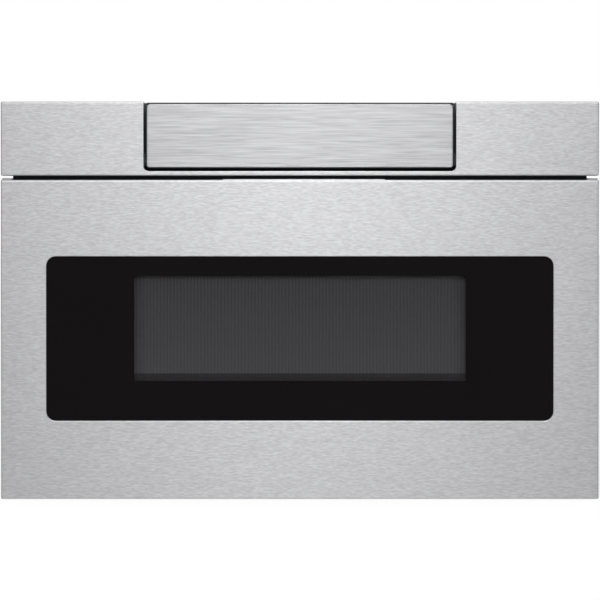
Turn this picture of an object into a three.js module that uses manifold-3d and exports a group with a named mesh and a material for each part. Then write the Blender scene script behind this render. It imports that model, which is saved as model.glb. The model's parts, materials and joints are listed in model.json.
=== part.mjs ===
// Built-in microwave drawer: a steel-fronted drawer on telescopic rails, driven by a rack and pinion
// under the oven cavity, with a control module above it that tilts forward out of the upper trim.
// Millimetres. +X is to the right, the fronts face -Y and +Z is up.
// The origin is under the middle of the unit, on the surface that it stands on.

import * as THREE from 'three';
import { mergeVertices } from 'three/addons/utils/BufferGeometryUtils.js';
import Module from 'manifold-3d';

const wasm = await Module();
wasm.setup();

// ---- Driving sizes ----

const seatGap = 0.3; // left between two pieces that rest on each other

// Fronts
const frontWidth = 606.4;
const unitDepth = 594;
const drawerFrontHeight = 323.7;
const drawerFrontLift = 0.5; // drawer front's lower edge above the standing surface
const bandGap = 4.1; // shadow gap between the drawer front and the trim
const trimHeight = 75.1;
const frontDepth = 30;
const frontSheet = 1.5;
const frontCornerRadius = 1.5;

// Window in the drawer front
const glassOpeningWidth = 513.7;
const glassOpeningHeight = 166.2;
const glassOpeningRise = 79.7; // above the drawer front's lower edge
const glassOpeningRadius = 9.1;
const glassThickness = 4;
const glassLap = 8; // glass hidden behind the steel on every side
const windowWidth = 336.6;
const windowHeight = 106.9;
const windowRise = 119.4;
const screenThickness = 0.6;
const screenLap = 4;

// Inside of the drawer front
const innerPanelInset = 1.7; // inner panel's face in front of the skin's rear edge
const innerPanelSheet = 1.5;
const tunnelSheet = 1.5;
const tunnelMargin = 2; // around the window
const chokeMargin = 16; // choke's outer edge beyond the cavity opening
const chokeGroove = 20;
const chokeDepth = 17;
const chokeCoverThickness = 2.6;
const innerGlassLap = 10;

// Control module
const controlWidth = 310.3;
const notchSideGap = 4.1;
const notchFloor = 4.8; // strip of trim left under the notch
const notchRadius = 5;
const controlUnderGap = 3.5;
const controlTopDrop = 1.6; // module's top below the trim's top
const controlSheet = 1.2;
const controlPanDepth = 3;
const controlTopRadius = 4.2;
const controlBottomRadius = 2.8;
const housingRim = 0.75; // black housing that stands out round the steel
const housingRimDepth = 7.7;
const housingSideInset = 2; // housing's body inside its rim, each side
const pivotInset = 6.5; // hinge axis behind the front
const pivotRise = 5.8; // hinge axis above the module's lower edge
const sweepRadius = 63.6; // hinge axis to the housing's rounded rear
const sweepClearance = 1.4;
const faceSlope = THREE.MathUtils.degToRad(26);
const faceMargin = 1.8;
const panelThickness = 2.4;
const panelSideMargin = 2;
const boardThickness = 1.6;
const boardSetBack = 4.9; // between the panel and the control board
const cutterReach = 10; // a sloping cutter stands this far out of the face
const boardMargin = 6; // board's edge inside the panel's edge
const displayLength = 74;
const displayWidth = 18;
const displayThickness = 1.5;
const displayGap = 0.5; // display's face below the panel
const hingePinRadius = 2.5;
const hingePinLength = 14;
const hingePinEndGap = 2; // past the pin's end in the housing
const undersideWall = 4; // behind the rim
const undersideReach = 49.6; // underside's pocket behind the hinge axis
const undersideTop = 18; // its ceiling above the hinge axis
const recessSheet = 1.5;
const recessSideClearance = 0.7;
const recessFloorClearance = 2;
const earReach = 9; // hinge ear above the hinge axis

// Case
const frontOverhang = 25.2; // fronts beyond the case on each side
const caseDrop = 6.4; // case's top below the trim's top
const caseSheet = 1.2;
const baseSheet = 1.5;
const flangeLap = 13; // front frame beyond the case on each side
const frameLift = 2;
const frameStandOff = 2; // between the drawer front's rear and the front frame
const panelReturn = 12;
const rearInset = 6;
const serviceBayDepth = 117.3; // between the oven cavity and the rear panel
const ventLength = 34;
const ventHeight = 3.5;
const ventPitch = 9;
const ventRows = 5; // in each side panel
const ventSetIn = 68; // rear vents' rear ends in front of the rear panel
const ventSpacing = 51; // from the rear vents to the ones before them
const rearVentRows = 8;
const rearVentGap = 6; // between the two columns of rear vents

// Oven cavity
const cavitySideSpace = 52; // beside the cavity, in the case
const cavityRise = 93; // cavity's floor above the standing surface
const cavityTopDrop = 41.2; // cavity's ceiling below the drawer front's top
const cavitySheet = 1.2;

// Drawer tub and tray
const tubSideClearance = 12;
const tubRearClearance = 33;
const tubFloorClearance = 11;
const tubTopDrop = 47; // tub's rim below the cavity's ceiling
const tubSheet = 1.5;
const tubRim = 3;
const tubFrontReturn = 9;
const trayThickness = 5;
const trayClearance = 1;
const trayRim = 8;
const trayHollow = 1.5;

// Telescopic rails
const railOverrun = 14.5; // rails' rear ends behind the cavity
const railHeight = 46;
const railWidth = 13;
const railDrop = 43; // rails' lower edge below the cavity's floor
const railSheet = 1.5;
const railClearance = 0.8;
const railSlotClearance = 1;
const railFrontGap = 0.5; // rails' front ends behind the front of the case
const railLap = 0.5; // inner rail's web outside the other rails' edges
const railTabLength = 14;
const railSetIn = 6; // inner rail's rear end in front of the others'
const tieBarHeight = 10;
const tieBarDepth = 18;
const tieBarDrop = 7.8; // tie bar below the cavity's floor
const tieBarLugLap = 4; // tie bar's middle lug beyond the rack on each side

// Rack and pinion
const gearModule = 2;
const pinionTeeth = 16;
const pressureAngle = THREE.MathUtils.degToRad(20);
const gearBacklash = 0.5;
const rackWidth = 14;
const rackBack = 11.5; // solid bar behind the rack's teeth
const rackSetIn = 2.9; // rack's rear end in front of the cavity's rear
const rackDrop = 8; // rack's upper face below the tie bar
const rackTabLap = 8; // rack's front tab beyond the bar
const pinionSetBack = 28.5; // pinion axis behind the front of the case
const shaftRadius = 4;
const shaftClearance = 0.4;
const motorBracketSheet = 2;
const rackSideClearance = 3; // rack to the motor's bracket
const gearboxSetBack = 3; // behind the front of the case
const gearboxLength = 40;
const gearboxDepth = 50;
const gearboxHeight = 58;
const driveMotorRadius = 18;
const driveMotorLength = 65;

// Latch hooks and their switches
const hookOffset = 200; // from the middle of the unit
const hookThickness = 4;
const hookHeight = 12;
const hookLength = 28;
const hookRise = 4; // above the choke's upper edge
const hookSlotClearance = 3;
const hookRootLength = 2;
const hookWaist = 3; // arm's lower edge above the beak's
const hookBeakLength = 6;
const hookBeakSlope = 3;
const hookNose = 4; // level part at the upper tip
const hookTopFall = 2;
const switchWidth = 10;
const switchHeight = 18;
const switchDepth = 20;
const plungerRadius = 1.8;
const plungerProud = 5;
const plungerDepth = 4; // inside the switch
const plungerOvertravel = 1;
const switchBracketHeight = 40;
const switchBracketFoot = 14;
const switchBracketEnd = 8;

// Microwave feed
const waveguideWidth = 95;
const waveguideHeight = 40;
const waveguideSheet = 1.2;
const waveguideFrontReach = 45; // waveguide's closed end in front of the stirrer
const waveguideRearReach = 41; // and its other end behind the magnetron's antenna
const feedHoleWidth = 70;
const feedHoleDepth = 60;
const stirrerSetBack = 30.5; // behind the middle of the cavity
const stirrerRadius = 80;
const stirrerHubRadius = 8;
const stirrerHubHeight = 10;
const stirrerShaftRadius = 3;
const stirrerDrop = 12; // fan below the cavity's ceiling
const stirrerBladeWidth = 26;
const stirrerBladeThickness = 1;
const stirrerBladePitch = THREE.MathUtils.degToRad(16);
const stirrerBlades = 4;
const stirrerCoverWidth = 220;
const stirrerCoverDepth = 25;
const stirrerCoverWall = 2;
const stirrerMotorRadius = 24;
const stirrerMotorHeight = 18;
const motorEarReach = 8; // beyond the motor's can
const motorEarWidth = 12;
const motorEarSheet = 2;
const shaftEndGap = 2; // past a shaft's end in its motor
const antennaRadius = 8;
const antennaLength = 26;
const antennaClearance = 4;
const magnetronSetBack = 54.5; // behind the cavity
const magnetronWidth = 80;
const magnetronDepth = 72;
const magnetronHeight = 70;
const magnetronPlate = 3;
const finThickness = 1.2;
const finCount = 6;
const finInset = 2; // fins' edges inside the yoke
const anodeRadius = 20;
const filterBoxHeight = 34;
const filterBoxWidth = 50;

// Cooling blower
const blowerSideSpace = 111.8; // wheel's axis to the case's side
const blowerTopDrop = 12.2; // scroll's top below the magnetron's
const blowerDepth = 60;
const blowerWall = 2;
const scrollLeastRadius = 58;
const scrollGrowth = 29;
const blowerOutletHeight = 48;
const blowerRearClearance = 8; // to the rear panel
const blowerInletRadius = 38;
const wheelRadius = 50;
const wheelWidth = 42;
const wheelPlate = 1.5;
const bladeDepth = 12;
const bladeThickness = 1;
const bladeCount = 20;
const wheelShaftRadius = 3;
const wheelShaftReach = 24; // in front of the wheel's plate
const wheelShaftClearance = 2.4; // in the housing's wall
const wheelSetBack = 8; // wheel's plate behind the housing's front
const bladeInset = 1; // blades' outer edges inside the rim
const blowerMotorRadius = 28;
const blowerMotorLength = 36;

// High-voltage supply
const transformerSideSpace = 76.8; // transformer's middle to the case's side
const transformerSetBack = 59.5; // behind the cavity
const coreWidth = 100;
const coreHeight = 84;
const coreDepth = 55;
const coreWindowWidth = 18;
const coreWindowHeight = 50;
const coreLimb = 30;
const windingReach = 15; // beyond the core, front and rear
const transformerFoot = 2;
const transformerFootReach = 8; // beyond the core on each side
const windingRadius = 8;
const capacitorOffset = 128; // to the right of the transformer
const capacitorSetBack = 62.5; // behind the cavity
const capacitorLength = 90;
const capacitorWidth = 52;
const capacitorHeight = 34;
const terminalLength = 8;
const terminalWidth = 6;
const terminalThickness = 2;
const terminalOffset = 10; // from the middle of the can's end
const capacitorFlat = 1; // straight part of the can's sides
const clampWidth = 16;
const clampSheet = 1;
const clampFoot = 14;
const diodeOffset = 86; // to the right of the capacitor
const diodeRadius = 4;
const diodeLength = 22;
const diodeRise = 6; // diode's axis above the base
const diodeFootWidth = 16;
const diodeFootDepth = 10;
const diodeFootHeight = 3;

// Boards, lamp and cord gland
const powerBoardSideSpace = 106.8; // board's middle to the case's side
const powerBoardSetBack = -14.5; // behind the middle of the cavity
const powerBoardWidth = 150;
const powerBoardLength = 170;
const filterBoardSideSpace = 96.8;
const filterBoardSetBack = 105.5;
const filterBoardWidth = 110;
const filterBoardLength = 100;
const relayWidth = 18;
const relayLength = 24;
const relayHeight = 20;
const relayPitch = 30;
const relayOffset = 40; // from the middle of the board
const boardTransformerWidth = 44;
const boardTransformerLength = 38;
const boardTransformerHeight = 34;
const boardCapacitorSize = 20;
const boardCapacitorHeight = 26;
const connectorLength = 50;
const connectorWidth = 12;
const filterCoilWidth = 40;
const filterCoilLength = 30;
const filterCoilHeight = 28;
const filterCapacitorSize = 16;
const filterCapacitorHeight = 24;
const standOffInset = 6;
const standOffHeight = 12;
const standOffRadius = 3;
const lampSetBack = 115.5; // behind the middle of the cavity
const lampDrop = 45; // below the cavity's ceiling
const lampHoleRows = 4;
const lampHoleSize = 4;
const lampHolePitch = 7;
const lampHoleSetIn = 44; // first column in front of the lamp's seat
const lampHoleDrop = 12; // first row below the lamp's axis
const lampRadius = 11;
const lampLength = 34;
const lampBaseRadius = 7;
const lampBaseDepth = 9;
const socketSize = 26;
const glandSideSpace = 51.8; // cord gland to the case's side
const glandDrop = 62; // below the case's top
const glandFlangeRadius = 13;
const glandFlangeThickness = 3;
const glandNeckRadius = 9;
const glandBore = 4;
const glandClipLap = 2; // clip behind the panel beyond the neck

// ---- Derived places ----

const frontHalf = frontWidth / 2;
const frontY = -unitDepth / 2;
const rearY = unitDepth / 2;
const frontBackY = frontY + frontDepth;
const frameFrontY = frontBackY + frameStandOff;
const frameBackY = frameFrontY + caseSheet;
const caseFrontY = frameBackY + seatGap;
const drawerTopZ = drawerFrontLift + drawerFrontHeight;
const trimBottomZ = drawerTopZ + bandGap;
const unitHeight = trimBottomZ + trimHeight;

const caseHalf = frontHalf - frontOverhang;
const caseInnerHalf = caseHalf - caseSheet;
const caseHeight = unitHeight - caseDrop;
const caseFloorZ = baseSheet + seatGap;
const caseCeilingZ = caseHeight - caseSheet - seatGap;
const rearPanelY = rearY - rearInset - caseSheet;

const cavityHalf = caseHalf - cavitySideSpace;
const cavityTopZ = drawerTopZ - cavityTopDrop;
const cavityRearY = rearPanelY - serviceBayDepth;
const cavityMiddleY = (caseFrontY + cavityRearY) / 2;
const cavityRoofZ = cavityTopZ + cavitySheet + seatGap; // what stands on the cavity starts here

const glassFrontY = frontY + frontSheet + seatGap;
const glassBackY = glassFrontY + glassThickness;
const glassOpeningZ = drawerFrontLift + glassOpeningRise;
const windowZ = drawerFrontLift + windowRise;
const screenFrontY = glassBackY + seatGap;
const tunnelFrontY = screenFrontY + screenThickness + seatGap;
const innerPanelBackY = frontBackY - innerPanelInset;
const innerPanelFrontY = innerPanelBackY - innerPanelSheet;
const carriedFrontY = innerPanelBackY + seatGap; // what hangs on the inner panel starts here
const chokeBackY = carriedFrontY + chokeCoverThickness;
const chokeOuterHalf = cavityHalf + chokeMargin;
const chokeBottomZ = cavityRise - chokeMargin;
const chokeTopZ = cavityTopZ + chokeMargin;

const tubHalf = cavityHalf - tubSideClearance;
const tubFrontY = chokeBackY + seatGap;
const tubRearY = cavityRearY - tubRearClearance;
const tubBottomZ = cavityRise + tubFloorClearance;
const tubFloorZ = tubBottomZ + tubSheet;
const tubTopZ = cavityTopZ - tubTopDrop;

const railRise = cavityRise - railDrop;
const railOuterX = caseInnerHalf - seatGap;
const railTopZ = railRise + railHeight;
const railFrontY = caseFrontY + railFrontGap;
const railRearY = cavityRearY + railOverrun;
const tieBarZ = cavityRise - cavitySheet - tieBarDrop - tieBarHeight;
const rackRearY = cavityRearY - rackSetIn;
const tieBarY = rackRearY - tieBarDepth;

const pitchRadius = (gearModule * pinionTeeth) / 2;
const rackPitch = gearModule * Math.PI;
const pinionY = caseFrontY + pinionSetBack;
const rackAddendum = 0.9 * gearModule;
const gearDedendum = 1.25 * gearModule;
const rackTopZ = tieBarZ - rackDrop;
const rackRootZ = rackTopZ - rackBack;
const rackPitchRise = rackRootZ - gearDedendum;
const pinionZ = rackPitchRise - pitchRadius;
const gearboxX = rackWidth / 2 + rackSideClearance + motorBracketSheet + seatGap;

const hookZ = chokeTopZ + hookRise;
const hookMiddleZ = hookZ + hookHeight / 2;
const hookBackY = carriedFrontY + hookLength;
const plungerFrontY = hookBackY + seatGap;
const switchFrontY = plungerFrontY + plungerProud;
const switchBackY = switchFrontY + switchDepth;
const switchBracketY = switchBackY + seatGap;

const controlBottomZ = trimBottomZ + notchFloor + controlUnderGap;
const controlHeight = unitHeight - controlTopDrop - housingRim - controlBottomZ;
const controlHalf = controlWidth / 2;
const notchHalf = controlHalf + notchSideGap;
const notchZ = trimBottomZ + notchFloor;
const pivotY = frontY + pivotInset;
const pivotZ = controlBottomZ + pivotRise;
const housingHalf = controlHalf + housingRim;
const recessHalf = housingHalf + recessSideClearance;
const recessOuterHalf = recessHalf + recessSheet;
const recessFloorZ = controlBottomZ - recessFloorClearance;
const recessBottomZ = recessFloorZ - recessSheet;
const recessRearY = pivotY + sweepRadius + sweepClearance;
const recessLidZ = caseCeilingZ - recessSheet;
const lidSweepRise = recessLidZ - sweepClearance - pivotZ;
const recessLidY = pivotY + Math.sqrt(Math.max(0, sweepRadius ** 2 - lidSweepRise ** 2));

const stirrerY = cavityMiddleY + stirrerSetBack;
const magnetronY = cavityRearY + magnetronSetBack;
const waveguideYs = [stirrerY - waveguideFrontReach, magnetronY + waveguideRearReach];
const waveguideTopZ = cavityRoofZ + waveguideHeight;
const stirrerZ = cavityTopZ - stirrerDrop;
const stirrerCoverZ = cavityTopZ - seatGap - stirrerCoverDepth;
const magnetronTopZ = cavityRoofZ - seatGap;
const magnetronBottomZ = magnetronTopZ - magnetronHeight;
const blowerBackY = rearPanelY - blowerRearClearance;
const blowerFrontY = blowerBackY - blowerDepth;
const blowerX = caseInnerHalf - blowerSideSpace;
const blowerZ = magnetronTopZ - blowerTopDrop - scrollLeastRadius - scrollGrowth;
const blowerOutletReach = blowerX - magnetronWidth / 2 - seatGap; // outlet's mouth from the wheel's axis

const transformerX = transformerSideSpace - caseInnerHalf;
const transformerY = cavityRearY + transformerSetBack;
const capacitorX = transformerX + capacitorOffset;
const capacitorY = cavityRearY + capacitorSetBack;
const diodeX = capacitorX + diodeOffset;
const powerBoardX = caseInnerHalf - powerBoardSideSpace;
const powerBoardY = cavityMiddleY + powerBoardSetBack;
const filterBoardX = filterBoardSideSpace - caseInnerHalf;
const filterBoardY = cavityMiddleY + filterBoardSetBack;
const lampY = cavityMiddleY + lampSetBack;
const lampX = cavityHalf + cavitySheet + seatGap + socketSize / 2;
const lampZ = cavityTopZ - lampDrop;
const glandX = glandSideSpace - caseInnerHalf;

// ---- Materials ----

function finish(colour, roughness, metalness) {
  return new THREE.MeshStandardMaterial({ color: colour, roughness, metalness });
}

const stainless = finish(0xc8cacc, 0.35, 1);
const galvanised = finish(0xa9adb0, 0.5, 0.9);
const blackSteel = finish(0x16161a, 0.55, 0.4);
const enamel = finish(0x8f9092, 0.45, 0.3);
const smokedGlass = finish(0x161617, 0.08, 0);
const clearGlass = finish(0x6f7a78, 0.08, 0);
const perforatedSteel = finish(0x37373a, 0.5, 0.6);
const blackPlastic = finish(0x141416, 0.5, 0);
const whiteCeramic = finish(0xe6e4dc, 0.25, 0);
const paleNylon = finish(0xdcd8c8, 0.5, 0);
const mica = finish(0xcfc6ae, 0.6, 0);
const aluminium = finish(0xc3c6c9, 0.4, 1);
const copperWire = finish(0x9a5b34, 0.45, 0.7);
const siliconSteel = finish(0x5a5c60, 0.6, 0.7);
const boardGreen = finish(0x2f5d3a, 0.6, 0);
const redSwitch = finish(0x8c2a22, 0.55, 0);

// ---- Solids ----

// Each maker below gives a closed solid that can be joined and cut.
function solidOf(geometry) {
  geometry.deleteAttribute('normal');
  geometry.deleteAttribute('uv');
  const merged = mergeVertices(geometry, 1e-4);
  return new wasm.Manifold(new wasm.Mesh({
    numProp: 3,
    vertProperties: new Float32Array(merged.attributes.position.array),
    triVerts: new Uint32Array(merged.index.array),
  }));
}

function block(xs, ys, zs) {
  const geometry = new THREE.BoxGeometry(xs[1] - xs[0], ys[1] - ys[0], zs[1] - zs[0]);
  geometry.translate((xs[0] + xs[1]) / 2, (ys[0] + ys[1]) / 2, (zs[0] + zs[1]) / 2);
  return solidOf(geometry);
}

function slab(halfWidth, ys, zs) {
  return block([-halfWidth, halfWidth], ys, zs);
}

function extruded(shape, length, curveSegments) {
  return new THREE.ExtrudeGeometry(shape, { depth: length, bevelEnabled: false, curveSegments });
}

// The shape is drawn in Y and Z.
function prismX(shape, xs, curveSegments = 5) {
  const geometry = extruded(shape, xs[1] - xs[0], curveSegments);
  geometry.rotateX(Math.PI / 2);
  geometry.rotateZ(Math.PI / 2);
  geometry.translate(xs[0], 0, 0);
  return solidOf(geometry);
}

// The shape is drawn in X and Z.
function prismY(shape, ys, curveSegments = 5) {
  const geometry = extruded(shape, ys[1] - ys[0], curveSegments);
  geometry.rotateX(Math.PI / 2);
  geometry.translate(0, ys[1], 0);
  return solidOf(geometry);
}

function rodX(radius, xs, y = 0, z = 0, sides = 24) {
  const geometry = new THREE.CylinderGeometry(radius, radius, xs[1] - xs[0], sides);
  geometry.rotateZ(Math.PI / 2);
  geometry.translate((xs[0] + xs[1]) / 2, y, z);
  return solidOf(geometry);
}

function rodY(radius, ys, x = 0, z = 0, sides = 24) {
  const geometry = new THREE.CylinderGeometry(radius, radius, ys[1] - ys[0], sides);
  geometry.translate(x, (ys[0] + ys[1]) / 2, z);
  return solidOf(geometry);
}

function rodZ(radius, zs, x = 0, y = 0, sides = 24) {
  const geometry = new THREE.CylinderGeometry(radius, radius, zs[1] - zs[0], sides);
  geometry.rotateX(Math.PI / 2);
  geometry.translate(x, y, (zs[0] + zs[1]) / 2);
  return solidOf(geometry);
}

function polygon(points) {
  return new THREE.Shape(points.map(([u, v]) => new THREE.Vector2(u, v)));
}

// A closed outline whose corners are [u, v, radius], with an arc at each rounded corner.
function roundedPolygon(corners) {
  const shape = new THREE.Shape();
  corners.forEach(([u, v, radius], index) => {
    const corner = new THREE.Vector2(u, v);
    const before = corners.at(index - 1);
    const after = corners[(index + 1) % corners.length];
    const back = new THREE.Vector2(before[0], before[1]).sub(corner).normalize();
    const ahead = new THREE.Vector2(after[0], after[1]).sub(corner).normalize();
    const halfAngle = Math.acos(back.dot(ahead)) / 2;
    const setBack = radius / Math.tan(halfAngle);
    const start = corner.clone().addScaledVector(back, setBack);
    if (index === 0) shape.moveTo(start.x, start.y);
    else shape.lineTo(start.x, start.y);
    if (radius === 0) return;
    const inward = back.clone().add(ahead).normalize();
    const centre = corner.clone().addScaledVector(inward, radius / Math.sin(halfAngle));
    const end = corner.clone().addScaledVector(ahead, setBack);
    const from = Math.atan2(start.y - centre.y, start.x - centre.x);
    const to = Math.atan2(end.y - centre.y, end.x - centre.x);
    shape.absarc(centre.x, centre.y, radius, from, to, back.cross(ahead) > 0);
  });
  shape.closePath();
  return shape;
}

function roundedRectangle(left, right, bottom, top, bottomRadius, topRadius = bottomRadius) {
  return roundedPolygon([
    [left, bottom, bottomRadius],
    [right, bottom, bottomRadius],
    [right, top, topRadius],
    [left, top, topRadius],
  ]);
}

function join(first, ...others) {
  return others.reduce((sum, other) => sum.add(other), first);
}

function cut(first, ...others) {
  return others.reduce((rest, other) => rest.subtract(other), first);
}

function piece(name, solid, material, place = [0, 0, 0]) {
  const { vertProperties, triVerts } = solid.getMesh();
  const geometry = new THREE.BufferGeometry();
  geometry.setAttribute('position', new THREE.BufferAttribute(new Float32Array(vertProperties), 3));
  geometry.setIndex(new THREE.BufferAttribute(new Uint32Array(triVerts), 1));
  geometry.computeVertexNormals();
  const mesh = new THREE.Mesh(geometry, material);
  mesh.name = name;
  mesh.position.set(...place);
  return mesh;
}

// The solid is drawn for the right-hand side, and the left one is its mirror image.
function pair(name, solid, material, place = [0, 0, 0]) {
  const right = piece(`right_${name}`, solid, material, place);
  const left = piece(`left_${name}`, solid, material, [-place[0], place[1], place[2]]);
  left.scale.x = -1;
  return [left, right];
}

// ---- Case ----

function basePlate() {
  return piece('base_plate', slab(caseHalf, [caseFrontY, rearY], [0, baseSheet]), galvanised);
}

// A row of level slots through a side panel.
function sideVents(y, z) {
  return Array.from({ length: ventRows }, (_, row) => block(
    [caseHalf - caseSheet - 1, caseHalf + 1],
    [y, y + ventLength],
    [z + row * ventPitch, z + row * ventPitch + ventHeight],
  ));
}

function sidePanels() {
  const reach = caseHalf - panelReturn;
  const profile = polygon([
    [reach, caseFloorZ],
    [caseHalf, caseFloorZ],
    [caseHalf, caseCeilingZ],
    [reach, caseCeilingZ],
    [reach, caseCeilingZ - caseSheet],
    [caseInnerHalf, caseCeilingZ - caseSheet],
    [caseInnerHalf, caseFloorZ + caseSheet],
    [reach, caseFloorZ + caseSheet],
  ]);
  const rearVents = sideVents(rearPanelY - ventSetIn, cavityTopZ);
  const midVents = sideVents(rearPanelY - ventSetIn - ventSpacing, cavityTopZ);
  const panel = prismY(profile, [caseFrontY, rearY]);
  return pair('side_panel', cut(panel, ...rearVents, ...midVents), galvanised);
}

function topCover() {
  const sheet = slab(caseHalf, [caseFrontY, rearY], [caseHeight - caseSheet, caseHeight]);
  const mouth = slab(
    recessOuterHalf + seatGap,
    [caseFrontY - 1, recessLidY],
    [caseHeight - caseSheet - 1, caseHeight + 1],
  );
  return piece('top_cover', cut(sheet, mouth), galvanised);
}

function rearPanel() {
  const half = caseInnerHalf - seatGap;
  const low = caseFloorZ + caseSheet + seatGap;
  const high = caseCeilingZ - caseSheet - seatGap;
  const ys = [rearPanelY, rearPanelY + caseSheet];
  const through = [rearPanelY - 1, rearPanelY + caseSheet + 1];
  const slots = [];
  for (let row = 0; row < rearVentRows; row += 1) {
    const z = blowerZ + (row - (rearVentRows - 1) / 2) * ventPitch;
    const near = rearVentGap / 2;
    slots.push(block([blowerX - ventLength, blowerX - near], through, [z, z + ventHeight]));
    slots.push(block([blowerX + near, blowerX + ventLength], through, [z, z + ventHeight]));
  }
  const cordHole = rodY(glandNeckRadius + seatGap, through, glandX, caseHeight - glandDrop);
  return piece('rear_panel', cut(slab(half, ys, [low, high]), ...slots, cordHole), galvanised);
}

function frontFrame() {
  const ys = [frameFrontY, frameBackY];
  const through = [frameFrontY - 1, frameBackY + 1];
  const plate = slab(caseHalf + flangeLap, ys, [frameLift, caseHeight]);
  const cavityMouth = slab(cavityHalf, through, [cavityRise, cavityTopZ]);
  const recessMouth = slab(recessOuterHalf + seatGap, through, [recessBottomZ - seatGap, caseHeight + 1]);
  const rackSlot = slab(
    rackWidth / 2 + railSlotClearance,
    through,
    [rackPitchRise - rackAddendum - railSlotClearance, rackTopZ + railSlotClearance],
  );
  const sides = [-1, 1].flatMap((side) => [railSlot(side, through), hookSlot(side, through)]);
  return piece('front_frame', cut(plate, cavityMouth, recessMouth, rackSlot, ...sides), blackSteel);
}

function railSlot(side, ys) {
  const outer = side * (railOuterX - railSheet - railClearance + railSlotClearance);
  const inner = side * (railOuterX - railWidth + railSheet - railSlotClearance);
  const low = railRise + railSheet + railClearance - railSlotClearance;
  const high = railTopZ - railSheet - railClearance + railSlotClearance;
  return block([Math.min(outer, inner), Math.max(outer, inner)], ys, [low, high]);
}

function hookSlot(side, ys) {
  const half = hookThickness / 2 + hookSlotClearance;
  return block(
    [side * hookOffset - half, side * hookOffset + half],
    ys,
    [hookZ - hookSlotClearance, hookZ + hookHeight + hookSlotClearance],
  );
}

// ---- Upper trim and the recess behind it ----

function trimOutline(inset) {
  const side = frontHalf - inset;
  const low = trimBottomZ + inset;
  const high = unitHeight - inset;
  const radius = Math.max(0, frontCornerRadius - inset);
  const notch = notchHalf + inset;
  const notchLow = notchZ - inset;
  return roundedPolygon([
    [-side, low, radius],
    [side, low, radius],
    [side, high, radius],
    [notch, high, 0],
    [notch, notchLow, notchRadius + inset],
    [-notch, notchLow, notchRadius + inset],
    [-notch, high, 0],
    [-side, high, radius],
  ]);
}

function upperTrim() {
  const backY = frameFrontY - seatGap;
  const outside = prismY(trimOutline(0), [frontY, backY]);
  const hollow = prismY(trimOutline(frontSheet), [frontY + frontSheet, backY + 1]);
  return piece('upper_trim', cut(outside, hollow), stainless);
}

function recessHousing() {
  const ys = [frameFrontY, recessRearY + recessSheet];
  const shell = slab(recessOuterHalf, ys, [recessBottomZ, caseCeilingZ]);
  const inside = slab(recessHalf, [frameFrontY - 1, recessRearY], [recessFloorZ, recessLidZ]);
  const mouth = slab(recessHalf, [frameFrontY - 1, recessLidY], [recessFloorZ, caseCeilingZ + 1]);
  const ears = [[-recessOuterHalf, -recessHalf], [recessHalf, recessOuterHalf]].map((xs) => block(
    xs,
    [frontY + controlPanDepth, frameFrontY + 1],
    [notchZ + notchRadius + seatGap, pivotZ + earReach],
  ));
  const pinHole = rodX(hingePinRadius + seatGap, [-recessOuterHalf - 1, recessOuterHalf + 1], pivotY, pivotZ);
  const solid = cut(join(cut(shell, inside, mouth), ...ears), pinHole);
  return piece('recess_housing', solid, blackPlastic);
}

function hingePins() {
  const outerX = notchHalf - seatGap;
  const pin = rodX(hingePinRadius, [-hingePinLength, 0]);
  return pair('hinge_pin', pin, stainless, [outerX, pivotY, pivotZ]);
}

// ---- Oven cavity ----

function lampHoles() {
  const holes = [];
  const through = [cavityHalf - 1, cavityHalf + cavitySheet + 1];
  for (let row = 0; row < lampHoleRows; row += 1) {
    for (let column = 0; column < lampHoleRows; column += 1) {
      const y = lampY - lampHoleSetIn + column * lampHolePitch;
      const z = lampZ - lampHoleDrop + row * lampHolePitch;
      holes.push(block(through, [y, y + lampHoleSize], [z, z + lampHoleSize]));
    }
  }
  return holes;
}

function feedHole(zs) {
  return slab(feedHoleWidth / 2, [stirrerY - feedHoleDepth / 2, stirrerY + feedHoleDepth / 2], zs);
}

function ovenCavity() {
  const outside = slab(
    cavityHalf + cavitySheet,
    [caseFrontY, cavityRearY + cavitySheet],
    [cavityRise - cavitySheet, cavityTopZ + cavitySheet],
  );
  const inside = slab(cavityHalf, [caseFrontY - 1, cavityRearY], [cavityRise, cavityTopZ]);
  const feed = feedHole([cavityTopZ - 1, cavityTopZ + cavitySheet + 1]);
  return piece('oven_cavity', cut(outside, inside, feed, ...lampHoles()), enamel);
}

function stirrerCover() {
  const half = stirrerCoverWidth / 2;
  const outside = block(
    [-half, half],
    [stirrerY - half, stirrerY + half],
    [stirrerCoverZ, cavityTopZ - seatGap],
  );
  const inside = block(
    [-half + stirrerCoverWall, half - stirrerCoverWall],
    [stirrerY - half + stirrerCoverWall, stirrerY + half - stirrerCoverWall],
    [stirrerCoverZ + stirrerCoverWall, cavityTopZ + 1],
  );
  return piece('stirrer_cover', cut(outside, inside), mica);
}

// ---- Microwave feed ----

function waveguide() {
  const outside = slab(waveguideWidth / 2, waveguideYs, [cavityRoofZ, waveguideTopZ]);
  const inside = slab(
    waveguideWidth / 2 - waveguideSheet,
    [waveguideYs[0] + waveguideSheet, waveguideYs[1] - waveguideSheet],
    [cavityRoofZ + waveguideSheet, waveguideTopZ - waveguideSheet],
  );
  const feed = feedHole([cavityRoofZ - 1, cavityRoofZ + waveguideSheet + 1]);
  const shaftHole = rodZ(
    stirrerShaftRadius + shaftClearance,
    [waveguideTopZ - waveguideSheet - 1, waveguideTopZ + 1],
    0,
    stirrerY,
    16,
  );
  const antennaHole = rodZ(
    antennaRadius + antennaClearance,
    [cavityRoofZ - 1, cavityRoofZ + waveguideSheet + 1],
    0,
    magnetronY,
  );
  return piece('waveguide', cut(outside, inside, feed, shaftHole, antennaHole), aluminium);
}

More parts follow.
